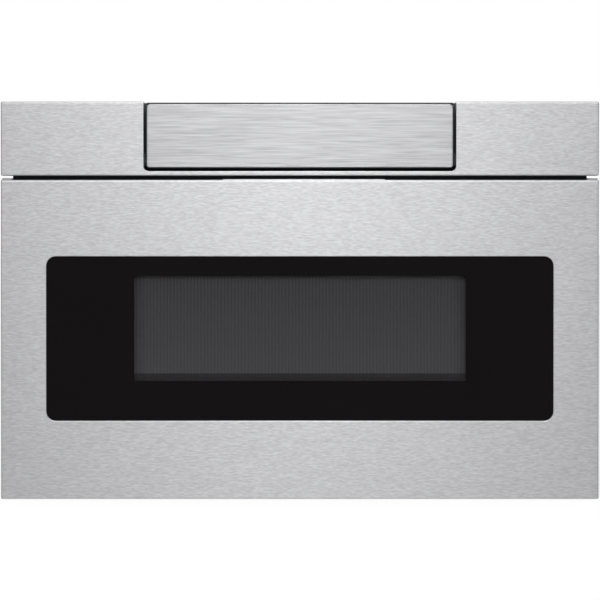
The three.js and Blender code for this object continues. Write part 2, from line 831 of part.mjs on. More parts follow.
// The stirrer's own parts are drawn round its upright axis, with the fan's middle at their origin.
function stirrerBlade(index) {
  const blade = new THREE.BoxGeometry(
    stirrerRadius - stirrerHubRadius / 2,
    stirrerBladeWidth,
    stirrerBladeThickness,
  );
  blade.translate((stirrerRadius + stirrerHubRadius / 2) / 2, 0, 0);
  blade.rotateX(stirrerBladePitch);
  blade.rotateZ((index * 2 * Math.PI) / stirrerBlades);
  return solidOf(blade);
}

const stirrerShaftTop = waveguideTopZ + seatGap + stirrerMotorHeight / 2;

function stirrerFan() {
  const hub = rodZ(stirrerHubRadius, [-stirrerHubHeight / 2, stirrerHubHeight / 2]);
  const shaft = rodZ(stirrerShaftRadius, [0, stirrerShaftTop - stirrerZ], 0, 0, 16);
  const blades = Array.from({ length: stirrerBlades }, (_, index) => stirrerBlade(index));
  return piece('stirrer_fan', join(hub, shaft, ...blades), aluminium, [0, stirrerY, stirrerZ]);
}

function stirrerMotor() {
  const can = rodZ(stirrerMotorRadius, [0, stirrerMotorHeight], 0, 0, 32);
  const ears = block(
    [-stirrerMotorRadius - motorEarReach, stirrerMotorRadius + motorEarReach],
    [-motorEarWidth / 2, motorEarWidth / 2],
    [0, motorEarSheet],
  );
  const hole = rodZ(
    stirrerShaftRadius + shaftClearance,
    [-1, stirrerMotorHeight / 2 + shaftEndGap],
    0,
    0,
    16,
  );
  const place = [0, stirrerY, waveguideTopZ + seatGap];
  return piece('stirrer_motor', cut(join(can, ears), hole), galvanised, place);
}

function magnetron() {
  const halfWidth = magnetronWidth / 2;
  const halfDepth = magnetronDepth / 2;
  const finPitch = (magnetronHeight - 2 * magnetronPlate) / (finCount + 1);
  const topPlate = block(
    [-waveguideWidth / 2, waveguideWidth / 2],
    [-halfDepth, halfDepth],
    [magnetronHeight - magnetronPlate, magnetronHeight],
  );
  const bottomPlate = block([-halfWidth, halfWidth], [-halfDepth, halfDepth], [0, magnetronPlate]);
  const yokes = [-1, 1].map((side) => block(
    [-halfWidth, halfWidth],
    side > 0 ? [halfDepth - magnetronPlate, halfDepth] : [-halfDepth, magnetronPlate - halfDepth],
    [0, magnetronHeight],
  ));
  const fins = Array.from({ length: finCount }, (_, index) => block(
    [-halfWidth + finInset, halfWidth - finInset],
    [-halfDepth, halfDepth],
    [magnetronPlate + (index + 1) * finPitch, magnetronPlate + (index + 1) * finPitch + finThickness],
  ));
  const anode = rodZ(anodeRadius, [0, magnetronHeight], 0, 0, 12);
  const antenna = rodZ(antennaRadius, [0, magnetronHeight + antennaLength], 0, 0, 12);
  const filterBox = block(
    [-filterBoxWidth / 2, filterBoxWidth / 2],
    [-filterBoxWidth / 2, filterBoxWidth / 2],
    [-filterBoxHeight, 1],
  );
  const solid = join(topPlate, bottomPlate, ...yokes, ...fins, anode, antenna, filterBox);
  return piece('magnetron', solid, aluminium, [0, magnetronY, magnetronBottomZ]);
}

// ---- Cooling blower ----

// Outline of the scroll in X and Z round the wheel's axis, drawn inside its wall by the inset.
function scrollOutline(inset, mouthReach) {
  const top = scrollLeastRadius + scrollGrowth - inset;
  const points = [
    [-mouthReach, top],
    [-mouthReach, top - blowerOutletHeight + 2 * inset],
  ];
  const steps = 28;
  const tongue = THREE.MathUtils.degToRad(115);
  const full = THREE.MathUtils.degToRad(450);
  for (let step = 0; step <= steps; step += 1) {
    const angle = tongue + ((full - tongue) * step) / steps;
    const radius = scrollLeastRadius + (scrollGrowth * step) / steps - inset;
    points.push([radius * Math.cos(angle), radius * Math.sin(angle)]);
  }
  return polygon(points);
}

function blowerHousing() {
  const outside = prismY(scrollOutline(0, blowerOutletReach), [0, blowerDepth]);
  const inside = prismY(
    scrollOutline(blowerWall, blowerOutletReach + 1),
    [blowerWall, blowerDepth - blowerWall],
  );
  const inlet = rodY(blowerInletRadius, [blowerDepth - blowerWall - 1, blowerDepth + 1], 0, 0, 32);
  const shaftHole = rodY(wheelShaftRadius + wheelShaftClearance, [-1, blowerWall + 1]);
  const place = [blowerX, blowerFrontY, blowerZ];
  return piece('blower_housing', cut(outside, inside, inlet, shaftHole), galvanised, place);
}

function wheelBlade(index) {
  const blade = new THREE.BoxGeometry(bladeDepth, wheelWidth, bladeThickness);
  blade.translate(wheelRadius - bladeDepth / 2 - bladeInset, wheelWidth / 2, 0);
  blade.rotateY((index * 2 * Math.PI) / bladeCount);
  return solidOf(blade);
}

function blowerWheel() {
  const plate = rodY(wheelRadius, [0, wheelPlate], 0, 0, 32);
  const rim = cut(
    rodY(wheelRadius, [wheelWidth - wheelPlate, wheelWidth], 0, 0, 32),
    rodY(wheelRadius - bladeDepth, [wheelWidth - wheelPlate - 1, wheelWidth + 1], 0, 0, 32),
  );
  const hub = rodY(3 * wheelShaftRadius, [0, wheelWidth / 2]);
  const shaft = rodY(wheelShaftRadius, [-wheelShaftReach, wheelPlate], 0, 0, 16);
  const blades = Array.from({ length: bladeCount }, (_, index) => wheelBlade(index));
  const place = [blowerX, blowerFrontY + wheelSetBack, blowerZ];
  return piece('blower_wheel', join(plate, rim, hub, shaft, ...blades), blackPlastic, place);
}

function blowerMotor() {
  const can = rodY(blowerMotorRadius, [-blowerMotorLength, 0], 0, 0, 32);
  const holeEnd = wheelSetBack - wheelShaftReach - 2 * shaftEndGap;
  const hole = rodY(wheelShaftRadius + shaftClearance, [holeEnd, 1], 0, 0, 16);
  const place = [blowerX, blowerFrontY - seatGap, blowerZ];
  return piece('blower_motor', cut(can, hole), siliconSteel, place);
}

// ---- High-voltage supply ----

function transformerCore() {
  const halfDepth = coreDepth / 2;
  const stack = slab(coreWidth / 2, [-halfDepth, halfDepth], [0, coreHeight]);
  const windowLow = (coreHeight - coreWindowHeight) / 2;
  const windows = [-1, 1].map((side) => {
    const near = side * (coreLimb / 2);
    const far = side * (coreLimb / 2 + coreWindowWidth);
    return block(
      [Math.min(near, far), Math.max(near, far)],
      [-halfDepth - 1, halfDepth + 1],
      [windowLow, windowLow + coreWindowHeight],
    );
  });
  const foot = slab(coreWidth / 2 + transformerFootReach, [-halfDepth, halfDepth], [0, transformerFoot]);
  const solid = join(cut(stack, ...windows), foot);
  return piece('transformer_core', solid, siliconSteel, [transformerX, transformerY, caseFloorZ]);
}

function transformerWinding() {
  const halfWidth = coreLimb / 2 + coreWindowWidth - seatGap;
  const halfDepth = coreDepth / 2;
  const low = (coreHeight - coreWindowHeight) / 2 + seatGap;
  const high = low + coreWindowHeight - 2 * seatGap;
  const reach = halfDepth + windingReach;
  const outside = prismZ(roundedRectangle(-halfWidth, halfWidth, -reach, reach, windingRadius), [low, high]);
  const limb = coreLimb / 2 + seatGap;
  const inside = block([-limb, limb], [-halfDepth - seatGap, halfDepth + seatGap], [low - 1, high + 1]);
  const place = [transformerX, transformerY, caseFloorZ];
  return piece('transformer_winding', cut(outside, inside), copperWire, place);
}

function prismZ(shape, zs, curveSegments = 4) {
  const geometry = extruded(shape, zs[1] - zs[0], curveSegments);
  geometry.translate(0, 0, zs[0]);
  return solidOf(geometry);
}

function capacitorOutline(inset) {
  const halfWidth = capacitorWidth / 2 - inset;
  const low = inset;
  const high = capacitorHeight - inset;
  return roundedRectangle(-halfWidth, halfWidth, low, high, (capacitorHeight - capacitorFlat) / 2 - inset);
}

const capacitorZ = caseFloorZ + clampSheet + seatGap;

function capacitor() {
  const half = capacitorLength / 2;
  const can = prismX(capacitorOutline(0), [-half, half]);
  const terminals = [-1, 1].map((side) => block(
    [half - 1, half + terminalLength],
    [side * terminalOffset - terminalWidth / 2, side * terminalOffset + terminalWidth / 2],
    [(capacitorHeight - terminalThickness) / 2, (capacitorHeight + terminalThickness) / 2],
  ));
  return piece('hv_capacitor', join(can, ...terminals), aluminium, [capacitorX, capacitorY, capacitorZ]);
}

function capacitorClamp() {
  const half = clampWidth / 2;
  const outer = prismX(capacitorOutline(-clampSheet - seatGap), [-half, half]);
  const inner = prismX(capacitorOutline(-seatGap), [-half - 1, half + 1]);
  const reach = capacitorWidth / 2 + clampSheet + seatGap + clampFoot;
  const bottom = -clampSheet - seatGap;
  const foot = block([-half, half], [-reach, reach], [bottom, bottom + clampSheet]);
  const place = [capacitorX, capacitorY, capacitorZ];
  return piece('capacitor_clamp', cut(join(outer, foot), inner), galvanised, place);
}

function diode() {
  const body = rodY(diodeRadius, [-diodeLength / 2, diodeLength / 2], 0, diodeRise, 16);
  const foot = slab(diodeFootWidth / 2, [-diodeFootDepth / 2, diodeFootDepth / 2], [0, diodeFootHeight]);
  return piece('hv_diode', join(body, foot), blackPlastic, [diodeX, capacitorY, caseFloorZ]);
}

// ---- Boards, switches, lamp and cord gland ----

// A circuit board on four stand-offs, with its taller parts as blocks [x, y, width, length, height].
function boardOnStandOffs(width, length, blocks) {
  const top = standOffHeight + boardThickness;
  const board = block([-width / 2, width / 2], [-length / 2, length / 2], [standOffHeight, top]);
  const legs = [];
  for (const x of [standOffInset - width / 2, width / 2 - standOffInset]) {
    for (const y of [standOffInset - length / 2, length / 2 - standOffInset]) {
      legs.push(rodZ(standOffRadius, [0, standOffHeight + boardThickness / 2], x, y, 8));
    }
  }
  const parts = blocks.map(([x, y, w, l, h]) => block(
    [x - w / 2, x + w / 2],
    [y - l / 2, y + l / 2],
    [top - boardThickness / 2, top + h],
  ));
  return join(board, ...legs, ...parts);
}

function powerBoard() {
  const relays = [-1, 0, 1].map((row) => [
    -relayOffset,
    row * relayPitch,
    relayWidth,
    relayLength,
    relayHeight,
  ]);
  const solid = boardOnStandOffs(powerBoardWidth, powerBoardLength, [
    ...relays,
    [relayPitch, relayOffset, boardTransformerWidth, boardTransformerLength, boardTransformerHeight],
    [relayPitch, -boardCapacitorSize / 2, boardCapacitorSize, boardCapacitorSize, boardCapacitorHeight],
    [relayPitch, -connectorLength, connectorLength, connectorWidth, connectorWidth],
  ]);
  return piece('power_board', solid, boardGreen, [powerBoardX, powerBoardY, cavityRoofZ]);
}

function filterBoard() {
  const across = filterBoardWidth / 4;
  const along = filterBoardLength / 4;
  const solid = boardOnStandOffs(filterBoardWidth, filterBoardLength, [
    [-across, along, filterCoilWidth, filterCoilLength, filterCoilHeight],
    [across, along, filterCapacitorSize, filterCapacitorSize, filterCapacitorHeight],
    [across, -along, connectorLength, connectorWidth, connectorWidth],
  ]);
  return piece('filter_board', solid, boardGreen, [filterBoardX, filterBoardY, cavityRoofZ]);
}

function switchBracket() {
  const half = hookOffset + switchWidth / 2 + switchBracketEnd;
  const plate = slab(
    half,
    [switchBracketY, switchBracketY + caseSheet],
    [cavityRoofZ, cavityRoofZ + switchBracketHeight],
  );
  const foot = slab(
    half,
    [switchBracketY, switchBracketY + switchBracketFoot],
    [cavityRoofZ, cavityRoofZ + caseSheet],
  );
  return piece('switch_bracket', join(plate, foot), galvanised);
}

function interlockSwitch(name, side) {
  const body = block(
    [-switchWidth / 2, switchWidth / 2],
    [0, switchDepth],
    [-switchHeight / 2, switchHeight / 2],
  );
  const bore = rodY(plungerRadius + shaftClearance, [-1, plungerDepth + plungerOvertravel + 1], 0, 0, 16);
  return piece(name, cut(body, bore), redSwitch, [side * hookOffset, switchFrontY, hookMiddleZ]);
}

function plunger(name, side) {
  const solid = rodY(plungerRadius, [-plungerProud, plungerDepth], 0, 0, 16);
  return piece(name, solid, paleNylon, [side * hookOffset, switchFrontY, hookMiddleZ]);
}

function lathed(profile, sides) {
  const points = profile.map(([radius, height]) => new THREE.Vector2(radius, height));
  return solidOf(new THREE.LatheGeometry(points, sides));
}

function lampSocket() {
  const half = socketSize / 2;
  const body = block([-half, half], [0, socketSize], [-half, half]);
  const hole = rodY(lampBaseRadius + shaftClearance, [-1, lampBaseDepth + seatGap], 0, 0, 16);
  return piece('lamp_socket', cut(body, hole), whiteCeramic, [lampX, lampY, lampZ]);
}

function cavityLamp() {
  const profile = [
    [0, lampBaseDepth],
    [lampBaseRadius, lampBaseDepth],
    [lampBaseRadius, -seatGap],
    [lampRadius, -lampLength * 0.4],
    [lampRadius, -lampLength * 0.75],
    [lampRadius * 0.6, -lampLength * 0.95],
    [0, -lampLength],
  ];
  return piece('cavity_lamp', lathed(profile.reverse(), 16), clearGlass, [lampX, lampY, lampZ]);
}

function cordGland() {
  const insideY = -glandFlangeThickness - caseSheet - seatGap;
  const profile = [
    [glandBore, insideY],
    [glandNeckRadius + glandClipLap, insideY],
    [glandNeckRadius + glandClipLap, -caseSheet - seatGap],
    [glandNeckRadius, -caseSheet - seatGap],
    [glandNeckRadius, seatGap],
    [glandFlangeRadius, seatGap],
    [glandFlangeRadius, glandFlangeThickness],
    [glandBore, glandFlangeThickness],
    [glandBore, insideY],
  ];
  const place = [glandX, rearPanelY + caseSheet, caseHeight - glandDrop];
  return piece('cord_gland', lathed(profile, 20), blackPlastic, place);
}

// ---- Rails ----

// A channel in X and Z: its web stands at webX and its two flanges run from there by reach.
function channel(webX, reach, low, high, ys) {
  const inner = webX + Math.sign(reach) * railSheet;
  const tip = webX + reach;
  return prismY(polygon([
    [webX, low],
    [tip, low],
    [tip, low + railSheet],
    [inner, low + railSheet],
    [inner, high - railSheet],
    [tip, high - railSheet],
    [tip, high],
    [webX, high],
  ]), ys);
}

const middleRailX = railOuterX - railSheet - railClearance;
const innerRailX = railOuterX - railWidth + 2 * railSheet - railLap;
const railStep = railSheet + railClearance;

function outerRails() {
  const solid = channel(railOuterX, -railWidth, railRise, railTopZ, [railFrontY, railRearY]);
  return pair('outer_rail', solid, galvanised);
}

function middleRails() {
  const reach = middleRailX - (railOuterX - railWidth + railSheet);
  const solid = channel(
    middleRailX,
    -reach,
    railRise + railStep,
    railTopZ - railStep,
    [railFrontY, railRearY],
  );
  return pair('middle_rail', solid, galvanised);
}

function innerRails() {
  const reach = middleRailX - railStep - innerRailX;
  const low = railRise + 2 * railStep;
  const high = railTopZ - 2 * railStep;
  const bar = channel(innerRailX, reach, low, high, [carriedFrontY, railRearY - railSetIn]);
  const tab = block(
    [innerRailX - railTabLength, innerRailX + railSheet],
    [carriedFrontY, carriedFrontY + railSheet],
    [low, high],
  );
  return pair('inner_rail', join(bar, tab), galvanised);
}

function tieBar() {
  const half = innerRailX - seatGap;
  const bar = slab(half, [tieBarY, tieBarY + tieBarDepth], [tieBarZ, tieBarZ + tieBarHeight]);
  const drop = slab(
    rackWidth / 2 + tieBarLugLap,
    [tieBarY, tieBarY + tieBarDepth],
    [rackTopZ + seatGap, tieBarZ + 1],
  );
  return piece('rail_tie_bar', join(bar, drop), galvanised);
}

// ---- Rack and pinion ----

// Rack outline in Y and Z. A space between two teeth stands over the pinion's axis at rest.
function rackOutline(startY, endY) {
  const tipHalf = rackPitch / 4 - gearBacklash / 2 - rackAddendum * Math.tan(pressureAngle);
  const rootHalf = rackPitch / 4 - gearBacklash / 2 + gearDedendum * Math.tan(pressureAngle);
  const tipZ = rackPitchRise - rackAddendum;
  const points = [[startY, rackRootZ]];
  const first = Math.ceil((startY + rackPitch / 2 - pinionY) / rackPitch - 0.5);
  const last = Math.floor((endY - rackPitch / 2 - pinionY) / rackPitch - 0.5);
  for (let tooth = first; tooth <= last; tooth += 1) {
    const y = pinionY + (tooth + 0.5) * rackPitch;
    points.push([y - rootHalf, rackRootZ]);
    points.push([y - tipHalf, tipZ]);
    points.push([y + tipHalf, tipZ]);
    points.push([y + rootHalf, rackRootZ]);
  }
  points.push([endY, rackRootZ], [endY, rackTopZ], [startY, rackTopZ]);
  return polygon(points);
}

function driveRack() {
  const bar = prismX(rackOutline(carriedFrontY, rackRearY), [-rackWidth / 2, rackWidth / 2]);
  const tab = slab(
    rackWidth / 2 + rackTabLap,
    [carriedFrontY, carriedFrontY + railSheet],
    [rackRootZ - rackTabLap, rackTopZ + rackTabLap],
  );
  return piece('drive_rack', join(bar, tab), paleNylon);
}

// Pinion outline in Y and Z round its axis, with a tooth pointing straight up.
function pinionOutline() {
  const baseRadius = pitchRadius * Math.cos(pressureAngle);
  const rootRadius = pitchRadius - gearDedendum;
  const tipRadius = pitchRadius + gearModule;
  const involute = (angle) => Math.tan(angle) - angle;
  const pitchHalf = Math.PI / (2 * pinionTeeth) - gearBacklash / (2 * pitchRadius);
  const halfAt = (radius) => {
    const pressure = Math.acos(Math.min(1, baseRadius / radius));
    return pitchHalf + involute(pressureAngle) - involute(pressure);
  };
  const radii = [rootRadius, baseRadius, pitchRadius, (pitchRadius + tipRadius) / 2, tipRadius];
  const points = [];
  for (let tooth = 0; tooth < pinionTeeth; tooth += 1) {
    const middle = Math.PI / 2 + (tooth * 2 * Math.PI) / pinionTeeth;
    radii.forEach((radius) => points.push([radius, middle - halfAt(radius)]));
    radii.slice().reverse().forEach((radius) => points.push([radius, middle + halfAt(radius)]));
  }
  return polygon(points.map(([radius, angle]) => [radius * Math.cos(angle), radius * Math.sin(angle)]));
}

function drivePinion() {
  const half = rackWidth / 2;
  const gear = prismX(pinionOutline(), [-half, half]);
  const shaft = rodX(shaftRadius, [-half, gearboxX + gearboxLength / 2], 0, 0, 16);
  return piece('drive_pinion', join(gear, shaft), paleNylon, [0, pinionY, pinionZ]);
}

const gearboxFrontY = caseFrontY + gearboxSetBack;
const gearboxBottomZ = caseFloorZ + motorBracketSheet + seatGap;

function gearMotor() {
  const backY = gearboxFrontY + gearboxDepth;
  const xs = [gearboxX, gearboxX + gearboxLength];
  const box = block(xs, [gearboxFrontY, backY], [gearboxBottomZ, gearboxBottomZ + gearboxHeight]);
  const can = rodY(
    driveMotorRadius,
    [backY - 1, backY + driveMotorLength],
    gearboxX + gearboxLength / 2,
    gearboxBottomZ + gearboxHeight / 2,
  );
  const hole = rodX(
    shaftRadius + shaftClearance,
    [gearboxX - 1, gearboxX + gearboxLength / 2 + 1],
    pinionY,
    pinionZ,
    16,
  );
  return piece('gear_motor', cut(join(box, can), hole), siliconSteel);
}

function motorBracket() {
  const xs = [gearboxX - seatGap - motorBracketSheet, gearboxX - seatGap];
  const ys = [gearboxFrontY, gearboxFrontY + gearboxDepth];
  const plate = block(xs, ys, [caseFloorZ, gearboxBottomZ + gearboxHeight]);
  const foot = block([xs[0], gearboxX + gearboxLength], ys, [caseFloorZ, caseFloorZ + motorBracketSheet]);
  const hole = rodX(shaftRadius + shaftClearance, [xs[0] - 1, xs[1] + 1], pinionY, pinionZ, 16);
  return piece('motor_bracket', cut(join(plate, foot), hole), galvanised);
}

// ---- Drawer ----

function drawerOutline(inset) {
  return roundedRectangle(
    -frontHalf + inset,
    frontHalf - inset,
    drawerFrontLift + inset,
    drawerTopZ - inset,
    Math.max(0.2, frontCornerRadius - inset),
  );
}

function drawerSkin() {
  const outside = prismY(drawerOutline(0), [frontY, frontBackY]);
  const hollow = prismY(drawerOutline(frontSheet), [frontY + frontSheet, frontBackY + 1]);
  const half = glassOpeningWidth / 2;
  const opening = roundedRectangle(
    -half,
    half,
    glassOpeningZ,
    glassOpeningZ + glassOpeningHeight,
    glassOpeningRadius,
  );
  const window = prismY(opening, [frontY - 1, frontY + frontSheet + 1], 6);
  return piece('drawer_skin', cut(outside, hollow, window), stainless);
}

function drawerGlass() {
  const outline = roundedRectangle(
    -glassOpeningWidth / 2 - glassLap,
    glassOpeningWidth / 2 + glassLap,
    glassOpeningZ - glassLap,
    glassOpeningZ + glassOpeningHeight + glassLap,
    glassOpeningRadius,
  );
  return piece('drawer_glass', prismY(outline, [glassFrontY, glassBackY]), smokedGlass);
}

function windowSlab(margin, ys) {
  return slab(windowWidth / 2 + margin, ys, [windowZ - margin, windowZ + windowHeight + margin]);
}

function windowScreen() {
  const solid = windowSlab(screenLap, [screenFrontY, screenFrontY + screenThickness]);
  return piece('window_screen', solid, perforatedSteel);
}

// A slab that ends inside the choke's outer edge by the inset.
function chokeSlab(inset, ys) {
  return slab(chokeOuterHalf - inset, ys, [chokeBottomZ + inset, chokeTopZ - inset]);
}

function innerPanel() {
  const edge = frontSheet + seatGap;
  const plate = slab(
    frontHalf - edge,
    [innerPanelFrontY, innerPanelBackY],
    [drawerFrontLift + edge, drawerTopZ - edge],
  );
  const chokeFrontY = innerPanelBackY - chokeDepth;
  const chokeYs = [chokeFrontY, innerPanelBackY];
  const grooveYs = [chokeFrontY + innerPanelSheet, innerPanelBackY + 1];
  const chokeBox = cut(
    chokeSlab(0, chokeYs),
    chokeSlab(chokeGroove + 2 * innerPanelSheet, [chokeFrontY - 1, innerPanelFrontY]),
  );
  const groove = cut(
    chokeSlab(innerPanelSheet, grooveYs),
    chokeSlab(chokeGroove + innerPanelSheet, [chokeFrontY, grooveYs[1] + 1]),
  );
  const tunnel = windowSlab(tunnelMargin + tunnelSheet, [tunnelFrontY, innerPanelFrontY + 1]);
  const opening = windowSlab(tunnelMargin, [tunnelFrontY - 1, innerPanelBackY + 1]);
  const solid = cut(join(plate, chokeBox, tunnel), groove, opening);
  return piece('inner_panel', solid, enamel);
}

function chokeCover() {
  const ys = [carriedFrontY, chokeBackY];
  const opening = windowSlab(innerGlassLap + seatGap, [ys[0] - 1, ys[1] + 1]);
  return piece('choke_cover', cut(chokeSlab(0, ys), opening), blackPlastic);
}

function innerGlass() {
  return piece('inner_glass', windowSlab(innerGlassLap, [carriedFrontY, chokeBackY]), clearGlass);
}

function drawerTub() {
  const outside = slab(tubHalf, [tubFrontY, tubRearY], [tubBottomZ, tubTopZ]);
  const inside = slab(
    tubHalf - tubSheet,
    [tubFrontY + tubSheet, tubRearY - tubSheet],
    [tubFloorZ, tubTopZ + 1],
  );
  const frontMouth = slab(
    tubHalf - tubFrontReturn,
    [tubFrontY - 1, tubFrontY + tubSheet + 1],
    [tubFloorZ + tubFrontReturn, tubTopZ + 1],
  );
  const rimZs = [tubTopZ - tubRim, tubTopZ];
  const rim = cut(
    slab(tubHalf + tubRim, [tubFrontY, tubRearY + tubRim], rimZs),
    slab(tubHalf - tubSheet, [tubFrontY - 1, tubRearY - tubSheet], [rimZs[0] - 1, rimZs[1] + 1]),
  );
  return piece('drawer_tub', join(cut(outside, inside, frontMouth), rim), enamel);
}

function ceramicTray() {
  const half = tubHalf - tubSheet - trayClearance;
  const frontEdge = tubFrontY + tubSheet + trayClearance;
  const backEdge = tubRearY - tubSheet - trayClearance;
  const low = tubFloorZ + seatGap;
  const plate = slab(half, [frontEdge, backEdge], [low, low + trayThickness]);
  const hollow = slab(
    half - trayRim,
    [frontEdge + trayRim, backEdge - trayRim],
    [low + trayThickness - trayHollow, low + trayThickness + 1],
  );
  return piece('ceramic_tray', cut(plate, hollow), whiteCeramic);
}

// The hook is drawn in Y and Z from the corner where it leaves the inner panel.
function latchHooks() {
  const outline = polygon([
    [0, 0],
    [hookRootLength, 0],
    [hookRootLength, hookWaist],
    [hookLength - hookBeakLength - hookBeakSlope, hookWaist],
    [hookLength - hookBeakLength, 0],
    [hookLength, 0],
    [hookLength, hookHeight],
    [hookLength - hookNose, hookHeight],
    [hookRootLength, hookHeight - hookTopFall],
    [hookRootLength, hookHeight],
    [0, hookHeight],
  ]);
  const hook = prismX(outline, [-hookThickness / 2, hookThickness / 2]);
  return pair('latch_hook', hook, blackPlastic, [hookOffset, carriedFrontY, hookZ]);
}

// ---- Control module ----

// Drawn round the hinge axis: X along it, Y to the rear and Z up, in the closed place.
const rimTop = controlHeight - pivotRise + housingRim;
const rimBackY = controlPanDepth - pivotInset + seatGap + housingRimDepth;
const faceStart = new THREE.Vector2(rimBackY, rimTop);
const faceDirection = new THREE.Vector2(Math.cos(faceSlope), -Math.sin(faceSlope));
const faceReach = faceStart.dot(faceDirection);
const faceLength = Math.sqrt(faceReach ** 2 - faceStart.lengthSq() + sweepRadius ** 2) - faceReach;
const faceEnd = faceStart.clone().addScaledVector(faceDirection, faceLength);
const panelHalf = housingHalf - housingSideInset - panelSideMargin;
const panelLength = faceLength - 2 * faceMargin;

function controlOutline(inset) {
  return roundedRectangle(
    -controlHalf + inset,
    controlHalf - inset,
    -pivotRise + inset,
    controlHeight - pivotRise - inset,
    controlBottomRadius - inset,
    controlTopRadius - inset,
  );
}

function controlFront() {
  const backY = controlPanDepth - pivotInset;
  const outside = prismY(controlOutline(0), [-pivotInset, backY]);
  const hollow = prismY(controlOutline(controlSheet), [-pivotInset + controlSheet, backY + 1]);
  return piece('control_front', cut(outside, hollow), stainless);
}

// Profile of the housing's body in Y and Z: level underside, round rear and sloping control face.
function housingProfile() {
  const bottom = -pivotRise + housingRim;
  const startAngle = Math.asin(bottom / sweepRadius);
  const endAngle = Math.atan2(faceEnd.y, faceEnd.x);
  const steps = 10;
  const points = [[0, bottom]];
  for (let step = 0; step <= steps; step += 1) {
    const angle = startAngle + ((endAngle - startAngle) * step) / steps;
    points.push([sweepRadius * Math.cos(angle), sweepRadius * Math.sin(angle)]);
  }
  points.push([faceStart.x, faceStart.y], [0, faceStart.y]);
  return polygon(points);
}

// A cut into the sloping face, given along and across it and by its depth.
function faceCut(halfWidth, halfLength, depth) {
  const geometry = new THREE.BoxGeometry(2 * halfWidth, 2 * halfLength, depth + cutterReach);
  geometry.translate(0, 0, (cutterReach - depth) / 2);
  geometry.rotateX(-faceSlope);
  const middle = faceStart.clone().add(faceEnd).multiplyScalar(0.5);
  geometry.translate(0, middle.x, middle.y);
  return solidOf(geometry);
}

function controlHousing() {
  const pocketFrontY = controlSheet - pivotInset;
  const rimFrontY = controlPanDepth - pivotInset + seatGap;
  const lug = prismY(controlOutline(controlSheet + seatGap), [pocketFrontY + seatGap, rimFrontY + 1]);
  const rim = prismY(controlOutline(-housingRim), [rimFrontY, rimBackY]);
  const bodyHalf = housingHalf - housingSideInset;
  const body = prismX(housingProfile(), [-bodyHalf, bodyHalf]);
  const boardDepth = panelThickness + seatGap + boardSetBack + boardThickness + seatGap;
  const pockets = [
    faceCut(panelHalf + seatGap, panelLength / 2 + seatGap, panelThickness + seatGap),
    faceCut(panelHalf - boardMargin + seatGap, panelLength / 2 - boardMargin + seatGap, boardDepth),
    faceCut(panelHalf - 2 * boardMargin, panelLength / 2 - 2 * boardMargin, boardDepth + boardMargin),
  ];
  const underside = slab(
    bodyHalf - boardMargin,
    [rimBackY + undersideWall, undersideReach],
    [-pivotRise - 1, undersideTop],
  );
  const pinHoleStart = notchHalf - hingePinLength - hingePinEndGap;
  const pinHole = rodX(hingePinRadius + seatGap, [pinHoleStart, notchHalf]);
  const otherPinHole = rodX(hingePinRadius + seatGap, [-notchHalf, -pinHoleStart]);
  const solid = cut(join(body, rim, lug), ...pockets, underside, pinHole, otherPinHole);
  return piece('control_housing', solid, blackPlastic);
}

// The face's own group: X along the module, Y down the slope to the rear, Z out of the face.
function controlPanel() {
  const plate = slab(panelHalf, [-panelLength / 2, panelLength / 2], [-panelThickness, 0]);
  const pocket = slab(
    displayLength / 2 + seatGap,
    [-displayWidth / 2 - seatGap, displayWidth / 2 + seatGap],
    [-displayThickness - seatGap, 1],
  );
  return piece('control_panel', cut(plate, pocket), smokedGlass);
}

function displayWindow() {
  const solid = slab(
    displayLength / 2,
    [-displayWidth / 2, displayWidth / 2],
    [-displayThickness, 0],
  );
  return piece('display_window', solid, clearGlass);
}

function controlBoard() {
  const top = -panelThickness - seatGap - boardSetBack;
  const half = panelHalf - boardMargin;
  const halfLength = panelLength / 2 - boardMargin;
  const board = slab(half, [-halfLength, halfLength], [top - boardThickness, top]);
  const display = slab(
    displayLength / 2,
    [-displayWidth / 2, displayWidth / 2],
    [top - boardThickness / 2, top + boardSetBack - displayGap],
  );
  return piece('control_board', join(board, display), boardGreen);
}

function controlModule() {
  const face = new THREE.Group();
  face.position.set(0, (faceStart.x + faceEnd.x) / 2, (faceStart.y + faceEnd.y) / 2);
  face.rotation.x = -faceSlope;
  face.add(controlPanel(), displayWindow(), controlBoard());
  const module = new THREE.Group();
  module.position.set(0, pivotY, pivotZ);
  module.add(controlFront(), controlHousing(), face);
  return module;
}

// ---- Assembly ----

const chassis = new THREE.Group();
chassis.add(
  basePlate(),
  ...sidePanels(),
  topCover(),
  rearPanel(),
  frontFrame(),
  upperTrim(),
  recessHousing(),
  ...hingePins(),
  ovenCavity(),
  stirrerCover(),
  waveguide(),
  stirrerMotor(),
  magnetron(),
  blowerHousing(),
  blowerMotor(),
  transformerCore(),
  transformerWinding(),
  capacitor(),
  capacitorClamp(),
  diode(),
  powerBoard(),
  filterBoard(),
  switchBracket(),
  interlockSwitch('primary_switch', 1),
  interlockSwitch('monitor_switch', -1),
  lampSocket(),
  cavityLamp(),
  cordGland(),
  ...outerRails(),
  gearMotor(),
  motorBracket(),
);

const moving = new THREE.Group();
moving.add(
  plunger('primary_plunger', 1),
  plunger('monitor_plunger', -1),
  ...middleRails(),
  drivePinion(),
  blowerWheel(),
  stirrerFan(),
);

const drawer = new THREE.Group();
drawer.add(
  drawerSkin(),
  drawerGlass(),
  windowScreen(),
  innerPanel(),
  innerGlass(),
  chokeCover(),
  drawerTub(),
  ceramicTray(),
  ...innerRails(),
  tieBar(),
  driveRack(),
  ...latchHooks(),
);

const microwaveDrawer = new THREE.Group();
microwaveDrawer.add(chassis, moving, drawer, controlModule());

export default microwaveDrawer;
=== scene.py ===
import itertools
import json
import math

import bmesh
import bpy
from mathutils import Matrix, Vector


